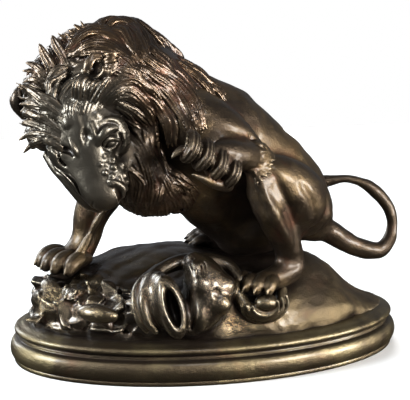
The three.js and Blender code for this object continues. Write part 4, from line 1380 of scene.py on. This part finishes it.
@dataclass
class Ground:
    """The rocky mound on the plinth, with the serpent worked into it."""

    plinth: Plinth
    serpent: Serpent
    cell: float = 1.05
    top: float = 74
    foot: tuple[float, float] = (171, 79)
    seed: int = 5
    hills: tuple[tuple[float, ...], ...] = ((25, -38, 24, 80, 60), (19, 96, 14, 34, 46), (4, -150, 0, 30, 50))
    hollow: tuple[Point, Point] = ((-32, -82, 80), (38, 24, 28))
    stone: tuple[Point, Point] = ((-176, -84, 38), (-52, 12, 92))
    mosaics: tuple[tuple[int, float, float], ...] = ((48, 0.44, 1.8), (100, 0.22, 0.5))
    shelf: tuple[Point, Point, tuple[Point, ...]] = (
        (-112, -66, 66), (20, 9, 9), ((0.86, -0.5, 0.05), (0.5, 0.86, 0), (0, 0, 1)))

    def reach(self, x: np.ndarray, y: np.ndarray) -> np.ndarray:
        """How far out a place lies, 0 in the middle and 1 on the foot oval."""
        return np.sqrt((x / self.foot[0]) ** 2 + (y / self.foot[1]) ** 2)

    def height(self, x: np.ndarray, y: np.ndarray) -> np.ndarray:
        """Height of the ground over the underside.

        Formula: the crown swells by hills, h exp(-((x-a)/w)^2 - ((y-b)/d)^2), and falls at the right end.
        The rise from the ledge follows the root of how far a place lies inside the foot oval, steep in
        front on the left and soft on the right. Strata and small waves lie over both.

        Args:
            x: along the plinth.
            y: across it.
        Returns:
            The height at each place.
        """
        crown = self.top
        for tall, a, b, w, d in self.hills:
            crown = crown + tall * np.exp(-((x - a) / w) ** 2 - ((y - b) / d) ** 2)
        crown = crown - 25 * ease(x, 118, 171)
        edge = 0.17 + 0.53 * ease(x, 30, 120)
        rise = np.sqrt(np.clip((1 - self.reach(x, y)) / edge, 0, 1))
        rough = 1 - ease(x, 30, 90)
        along, over = 0.92 * x + 0.39 * y, -0.39 * x + 0.92 * y
        strata = np.abs(np.sin(over / 7 + 1.4 * np.sin(along / 31) + 0.5 * np.sin(along / 11)))
        waves = 0.8 * np.sin(x / 9 + np.sin(y / 7)) * np.sin(y / 10)
        relief = ((1.4 * rough + 0.3) * (strata**0.6 - 0.6) + waves) * np.minimum(rise, 1)
        return self.plinth.ledge + (crown - self.plinth.ledge) * ease(rise, -0.4, 1) + relief

    def build(self) -> tuple[Clay, bpy.types.Object]:
        """Fill the ground from its height, add rocks and the serpent, and close it under the ledge.

        Returns:
            The clay and the piece.
        """
        clay = Clay((-176, -103, 36), (176, 84, 120), self.cell)
        x, y, z = clay.coordinates(tuple(slice(0, n) for n in clay.value.shape))
        h = self.height(x, y)
        gx, gy = np.gradient(h[:, :, 0], self.cell)
        steep = np.sqrt(1 + gx**2 + gy**2)[:, :, None]
        clay.value[:] = np.maximum((z - h) / np.minimum(steep, 3.5), (self.reach(x, y) - 1.004) * 60)
        clay.cut(*clay.lump(*self.hollow), 6)
        clay.soften(3)
        clay.weather(self.seed, ((26.0, 1.1), (11.0, 0.5), (5.0, 0.4)))
        clay.soften(3)
        self.rocks(clay)
        self.serpent.add(clay)
        clay.value[:] = np.maximum(clay.value, self.plinth.ledge - 1.2 - z)
        return clay, cast("ground", *clay.skin())

    def rocks(self, clay: Clay) -> None:
        """Split stone in front on the left: every cell of a random mosaic is a tilted facet of its own.

        Formula: the distance loses weight times (lift + tilt . (p - seed)) of the nearest seed, clipped;
        weight is 1 on the stone's flank and falls to 0 over a few millimetres round it.

        Args:
            clay: the ground.
        """
        chance = np.random.default_rng(self.seed)
        low, high = np.array(self.stone)
        window = clay.window(low, high)
        x, y, z = (np.broadcast_to(c, clay.value[window].shape) for c in clay.coordinates(window))
        here = clay.value[window]
        near = np.abs(here) < 9
        p = np.stack([x[near], y[near], z[near]], -1)
        change = np.zeros(len(p), np.float32)
        for count, tilt, lift in self.mosaics:
            seeds = chance.uniform(low, high, (count, 3)).astype(np.float32)
            owner = nearest(p, seeds)
            slant = chance.normal(0, tilt, (count, 3)).astype(np.float32)
            step = ((p - seeds[owner]) * slant[owner]).sum(1) + chance.normal(0, lift, count)[owner]
            change += np.clip(step, -3.6, 3.6)
        turn = np.degrees(np.arctan2(p[:, 1] / self.foot[1], p[:, 0] / self.foot[0])) % 360
        weight = ease(turn, 158, 168) * (1 - ease(turn, 238, 250)) * ease(p[:, 2], 44, 52)
        weight *= ease(self.reach(p[:, 0], p[:, 1]), 0.62, 0.74)
        here[near] -= change * weight
        clay.blend(*clay.lump(*self.shelf), 1)
        clay.soften(1)


# Finishes

class Tone:
    """A number that changes over a surface: one socket, with Python's arithmetic on it."""

    def __init__(self, bench: "Bench", socket: bpy.types.NodeSocket) -> None:
        """Keep the bench that makes nodes and the socket that gives the number."""
        self.bench, self.socket = bench, socket

    def _math(self, operation: str, *values: object) -> "Tone":
        """One Math node on the values."""
        node = self.bench.node("ShaderNodeMath", {"operation": operation}, dict(enumerate(values)))
        return Tone(self.bench, node.outputs[0])

    def __add__(self, other: object) -> "Tone":
        """Sum."""
        return self._math("ADD", self, other)

    def __radd__(self, other: object) -> "Tone":
        """Sum, reflected."""
        return self._math("ADD", other, self)

    def __sub__(self, other: object) -> "Tone":
        """Difference."""
        return self._math("SUBTRACT", self, other)

    def __rsub__(self, other: object) -> "Tone":
        """Difference, reflected."""
        return self._math("SUBTRACT", other, self)

    def __mul__(self, other: object) -> "Tone":
        """Product."""
        return self._math("MULTIPLY", self, other)

    def __rmul__(self, other: object) -> "Tone":
        """Product, reflected."""
        return self._math("MULTIPLY", other, self)

    def step(self, low: float, high: float) -> "Tone":
        """Smooth step.

        Args:
            low: where it is 0 up to.
            high: where it is 1 from.
        Returns:
            The step.
        """
        node = self.bench.node("ShaderNodeMapRange", {"interpolation_type": "SMOOTHSTEP"},
                               {"Value": self, "From Min": low, "From Max": high})
        return Tone(self.bench, node.outputs["Result"])


class Bench:
    """The node tree of one material or world."""

    def __init__(self, owner: bpy.types.Material | bpy.types.World, space: str = "Object") -> None:
        """Empty the owner's tree, and give the place of a point in it.

        Args:
            owner: what the nodes are for.
            space: the Texture Coordinate node's output that gives places.
        """
        owner.use_nodes = True
        self.tree = owner.node_tree
        self.tree.nodes.clear()
        self.place = self.node("ShaderNodeTexCoord").outputs[space]

    def node(self, kind: str, settings: dict[str, object] | None = None,
             values: dict[object, object] | None = None) -> bpy.types.Node:
        """Make one node.

        Args:
            kind: its type.
            settings: its own properties, set first.
            values: for its sockets, by name or number: a Tone or a socket is linked, anything else is set.
        Returns:
            The node.
        """
        node = self.tree.nodes.new(kind)
        for key, value in (settings or {}).items():
            setattr(node, key, value)
        for key, value in (values or {}).items():
            value = value.socket if isinstance(value, Tone) else value
            if isinstance(value, bpy.types.NodeSocket):
                self.tree.links.new(value, node.inputs[key])
            else:
                node.inputs[key].default_value = value
        return node

    def noise(self, per_metre: float, detail: float = 3.0, rough: float = 0.55, warp: float = 0.0) -> Tone:
        """Cloudy noise.

        Args:
            per_metre: its scale.
            detail: how many finer layers are added.
            rough: how strong each finer layer is.
            warp: how far it is distorted.
        Returns:
            About 0.5 on average.
        """
        node = self.node("ShaderNodeTexNoise", values={
            "Vector": self.place, "Scale": per_metre, "Detail": detail, "Roughness": rough,
            "Distortion": warp})
        return Tone(self, node.outputs["Fac"])

    def along(self, axis: str) -> Tone:
        """The place along X, Y or Z."""
        return Tone(self, self.node("ShaderNodeSeparateXYZ", values={"Vector": self.place}).outputs[axis])

    def mark(self, name: str) -> Tone:
        """A number stored on the piece's vertices."""
        return Tone(self, self.node("ShaderNodeAttribute", {"attribute_name": name}).outputs["Fac"])

    def mix(self, factor: object, a: object, b: object) -> bpy.types.NodeSocket:
        """From colour a to colour b.

        Args:
            factor: 0 for a, 1 for b.
            a: a colour or a socket.
            b: a colour or a socket.
        Returns:
            The socket that gives the mixed colour.
        """
        wide = [(*c, 1.0) if isinstance(c, tuple) else c for c in (a, b)]
        node = self.node("ShaderNodeMix", {"data_type": "RGBA"}, {0: factor, 6: wide[0], 7: wide[1]})
        return node.outputs[2]


class Wear(Enum):
    """How bright the crests are rubbed."""

    SOFT = 0.35
    HAND = 0.7


@dataclass(frozen=True)
class Patina:
    """Dark waxed bronze: nearly black furrows, brown ground colour, warm clouds and rubbed crests,
    with painted shade in sheltered places and a painted grey sheen on the face.
    """

    name: str
    ground: Colour
    cloud: Colour
    rubbed: Colour
    gloss: float
    # nearly black: the colour of the patina in furrows, and of the painted shade
    furrow_and_shade: Colour = (0.010, 0.006, 0.004)
    blush: Colour = (0.085, 0.030, 0.016)
    painted_sheen: Colour = (0.054, 0.047, 0.036)
    # painted sheen: the grey of a mirrored soft box, put on the face and the mane near it
    wear: Wear = Wear.HAND
    painted_sheen_share: float = 0.0
    blushed: float = 0.7
    grain: float = 0.35
    relief: float = 0.0006
    tooth: float = 150
    metal: float = 0.92
    coat: float = 0.3
    dull: float = 0.0
    fade: tuple[float, float] = (0.030, 0.085)

    def make(self) -> bpy.types.Material:
        """Build the material: colour from clouds, stains, wear, painted sheen and painted shade, then
        roughness, coat and fine relief.

        With dull, gloss and coat fade to the right of the middle, over the fade's stretch of x in metres.

        Returns:
            The material.
        """
        material = bpy.data.materials.new(self.name)
        bench = Bench(material)
        hollow, basin, painted_shade = bench.mark("hollow"), bench.mark("basin"), bench.mark("painted_shade")
        clouds = bench.noise(13, 5, 0.62, 0.5)
        flecks = bench.noise(95, 5, 0.65, 0.2)
        stain = bench.noise(34, 5, 0.6, 0.8)
        crest = (1 - hollow).step(0.52, 0.90) * (0.4 + 0.8 * flecks)
        deep = (hollow * 0.6 + basin * 0.4).step(0.50, 0.78)
        colour = bench.mix(clouds.step(0.44, 0.66) * (0.25 + 0.9 * stain), self.ground, self.cloud)
        colour = bench.mix((stain * 0.6 + basin * 0.5).step(0.54, 0.76) * self.blushed, colour, self.blush)
        # Painted sheen: the face, and the mane near it, greyed as if mirroring a pale soft box.
        if self.painted_sheen_share:
            colour = bench.mix(bench.mark("face") * self.painted_sheen_share, colour, self.painted_sheen)
        colour = bench.mix(crest * self.wear.value * 0.8, colour, self.rubbed)
        colour = bench.mix(deep * 0.92, colour, self.furrow_and_shade)
        # Painted shade: places that other parts shelter, and faces that look down, darkened nearly to black.
        colour = bench.mix(painted_shade.step(0.20, 0.46) * 0.94, colour, self.furrow_and_shade)
        rough = self.gloss + 0.14 * stain + 0.25 * deep - 0.06 * crest + 0.08 * flecks
        rough = rough + 0.3 * painted_shade.step(0.28, 0.5)
        coat = self.coat
        if self.dull:
            right = bench.along("X").step(*self.fade)
            rough = rough + self.dull * right
            coat = self.coat - self.coat * right
        height = bench.noise(700, 4, 0.65) * 0.7 + bench.noise(self.tooth, 5, 0.6, 0.4) * 1.1
        bump = bench.node("ShaderNodeBump", values={"Strength": self.grain, "Distance": self.relief,
                                                    "Height": height})
        shader = bench.node("ShaderNodeBsdfPrincipled", values={
            "Base Color": colour, "Metallic": self.metal, "Roughness": rough, "Normal": bump.outputs[0],
            "Coat Weight": coat, "Coat Roughness": 0.2, "Coat IOR": 1.5})
        bench.node("ShaderNodeOutputMaterial", values={"Surface": shader.outputs[0]})
        return material


HIDE_BRONZE = Patina(
    "bronze_hide", ground=(0.032, 0.022, 0.014), cloud=(0.110, 0.074, 0.034), rubbed=(0.42, 0.34, 0.23),
    gloss=0.30, grain=0.6, relief=0.0012, coat=0.18)
FACE_BRONZE = Patina(
    "bronze_face", ground=(0.030, 0.020, 0.013), cloud=(0.060, 0.040, 0.022), rubbed=(0.42, 0.35, 0.26),
    painted_sheen_share=0.95, blushed=0.6, gloss=0.24, grain=0.45, relief=0.0008)
MANE_BRONZE = Patina(
    "bronze_mane", ground=(0.026, 0.017, 0.011), cloud=(0.065, 0.038, 0.018), rubbed=(0.36, 0.25, 0.15),
    painted_sheen_share=0.9, gloss=0.26)
GROUND_BRONZE = Patina(
    "bronze_ground", ground=(0.042, 0.031, 0.020), cloud=(0.095, 0.070, 0.036), rubbed=(0.45, 0.39, 0.28),
    blushed=0.4, gloss=0.13, grain=0.6, relief=0.0013, tooth=110, coat=0.5, dull=0.28)
PLINTH_BRONZE = Patina(
    "bronze_plinth", ground=(0.052, 0.038, 0.022), cloud=(0.15, 0.12, 0.062), rubbed=(0.45, 0.38, 0.27),
    wear=Wear.SOFT, blushed=0.5, gloss=0.28, grain=0.6, relief=0.0012, coat=0.25)


def dress(piece: bpy.types.Object, finish: Patina, node: str, painted_shade: PaintedLight) -> None:
    """Give a piece its finish, its place in the frame and the node that it stands for.

    Args:
        piece: the piece.
        finish: how it looks.
        node: the model's node that the piece replaces.
        painted_shade: what marks the shade painted in its sheltered places, and its face.
    """
    painted_shade.mark(piece)
    piece.data.materials.clear()
    piece.data.materials.append(finish.make())
    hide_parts(node)
    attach(piece, "root")


# Studio

WARM = (1.0, 0.98, 0.94)
COOL = (0.90, 0.96, 1.0)


@dataclass(frozen=True)
class Lamp:
    """A square soft box that faces the sculpture; one that isn't shiny lights it without a glint."""

    name: str
    at: Point
    size: float
    power: float
    tint: Colour = (1, 1, 1)
    shiny: bool = True

    def light(self, target: Vector) -> None:
        """Put it up.

        Args:
            target: where it looks.
        """
        data = bpy.data.lights.new(self.name, "AREA")
        data.size, data.energy, data.color = self.size, self.power, self.tint
        lamp = bpy.data.objects.new(self.name, data)
        lamp.location = self.at
        lamp.rotation_euler = (Vector(self.at) - target).to_track_quat("Z", "Y").to_euler()
        lamp.visible_glossy = self.shiny
        bpy.context.collection.objects.link(lamp)


@dataclass
class Studio:
    """Camera at the photograph's angle, pale floor, soft boxes and a pale room."""

    azimuth: float = -10.65
    elevation: float = 15.09
    distance: float = 1.1854
    target: float = 0.150
    lens: float = 109.34
    shift: tuple[float, float] = (-0.0032, -0.0014)
    lamps: tuple[Lamp, ...] = (
        Lamp("key", (-1.5, -0.4, 0.7), 0.6, 64, COOL),
        Lamp("front", (0.1, -1.2, 1.7), 0.4, 9),
        Lamp("side", (1.0, -1.3, 0.7), 0.5, 52, WARM),
        Lamp("edge", (1.5, -0.9, 0.3), 0.5, 50, WARM),
        Lamp("rim", (-1.0, 1.0, 0.6), 0.6, 20, COOL),
        Lamp("back", (0.35, 1.2, 1.3), 0.8, 21, shiny=False),
    )
    lamp_target: float = 0.16
    floor_side: float = 7.0
    floor_front: float = -4
    floor_back: float = 0.9
    floor_dip: float = 0.1
    paper: tuple[Colour, Colour] = ((0.86, 0.86, 0.86), (0.90, 0.90, 0.90))
    seen: Colour = (1, 1, 1)
    below: Colour = (0.030, 0.026, 0.022)
    above: Colour = (0.22, 0.23, 0.25)

    def camera(self) -> None:
        """Place the camera: it looks at the axis of the object, target above the floor."""
        az, el = np.radians(self.azimuth), np.radians(self.elevation)
        back = Vector((np.sin(az) * np.cos(el), -np.cos(az) * np.cos(el), np.sin(el)))
        data = bpy.data.cameras.new("camera")
        data.lens, data.sensor_width = self.lens, 36
        data.shift_x, data.shift_y = self.shift
        data.clip_start, data.clip_end = 0.01, 50
        camera = bpy.data.objects.new("camera", data)
        camera.location = back * self.distance + Vector((0, 0, self.target))
        camera.rotation_euler = back.to_track_quat("Z", "Y").to_euler()
        bpy.context.collection.objects.link(camera)
        bpy.context.scene.camera = camera

    def floor(self) -> None:
        """A pale floor, flat up to a shallow dip at its far edge; past it the camera sees the white room.

        Formula: in the dip, the width of it times sin a back and times 1 - cos a - sin a up.
        """
        dip = self.floor_dip
        turn = np.linspace(0, np.pi / 2, 12)
        y = np.concatenate([[self.floor_front], self.floor_back + dip * np.sin(turn)])
        z = np.concatenate([[0], dip * (1 - np.cos(turn)) - dip * np.sin(turn)])
        points = np.array([(a, b, c) for a in (-self.floor_side, self.floor_side) for b, c in zip(y, z)])
        n = len(y)
        quads = [(k, k + n, k + n + 1, k + 1) for k in range(n - 1)]
        mesh = bpy.data.meshes.new("floor")
        mesh.from_pydata(points.tolist(), [], quads)
        mesh.shade_smooth()
        floor = bpy.data.objects.new("floor", mesh)
        bpy.context.collection.objects.link(floor)
        material = bpy.data.materials.new("studio_paper")
        bench = Bench(material)
        tone = bench.mix(bench.noise(3, 2), *self.paper)
        paper = bench.node("ShaderNodeBsdfPrincipled", values={"Base Color": tone, "Roughness": 0.85})
        bench.node("ShaderNodeOutputMaterial", values={"Surface": paper.outputs[0]})
        mesh.materials.append(material)
        floor.visible_glossy = False

    def room(self) -> None:
        """White where the camera looks past the floor; the bronze mirrors a dim room, darker low down."""
        world = bpy.data.worlds.new("room")
        bench = Bench(world, "Generated")
        seen = bench.node("ShaderNodeBackground", values={"Color": (*self.seen, 1)})
        sky = bench.mix(bench.along("Z").step(-0.3, 0.3), self.below, self.above)
        felt = bench.node("ShaderNodeBackground", values={"Color": sky})
        looking = bench.node("ShaderNodeLightPath").outputs["Is Camera Ray"]
        both = bench.node("ShaderNodeMixShader", values={0: looking, 1: felt.outputs[0], 2: seen.outputs[0]})
        bench.node("ShaderNodeOutputWorld", values={"Surface": both.outputs[0]})
        bpy.context.scene.world = world

    def build(self) -> None:
        """Set the camera, the floor, the lights and the pale room."""
        self.camera()
        self.floor()
        for lamp in self.lamps:
            lamp.light(Vector((0, 0, self.lamp_target)))
        self.room()
        bpy.context.scene.view_settings.view_transform = "Standard"


def main() -> None:
    """Build the studio, the base and the lion."""
    logging.basicConfig(level=logging.INFO, format="%(relativeCreated)7d ms  %(message)s")
    Studio().build()
    plinth = Plinth()
    mound, ground = Ground(plinth, Serpent()).build()
    body_clay, body = Body().build()
    head, mane = Head(), Mane()
    face_clay, face = head.build()
    halves = [mane.build(near, head, face_clay, body_clay) for near in (True, False)]
    painted_shade = PaintedLight([mound, body_clay, face_clay, mane.under(None, 3.0)], plinth)
    dress(plinth.build(), PLINTH_BRONZE, "base", painted_shade)
    dress(ground, GROUND_BRONZE, "base", painted_shade)
    dress(body, HIDE_BRONZE, "lion", painted_shade)
    dress(face, FACE_BRONZE, "lion", painted_shade)
    for half in halves:
        dress(half, MANE_BRONZE, "lion", painted_shade)


if __name__ == "__main__":
    main()
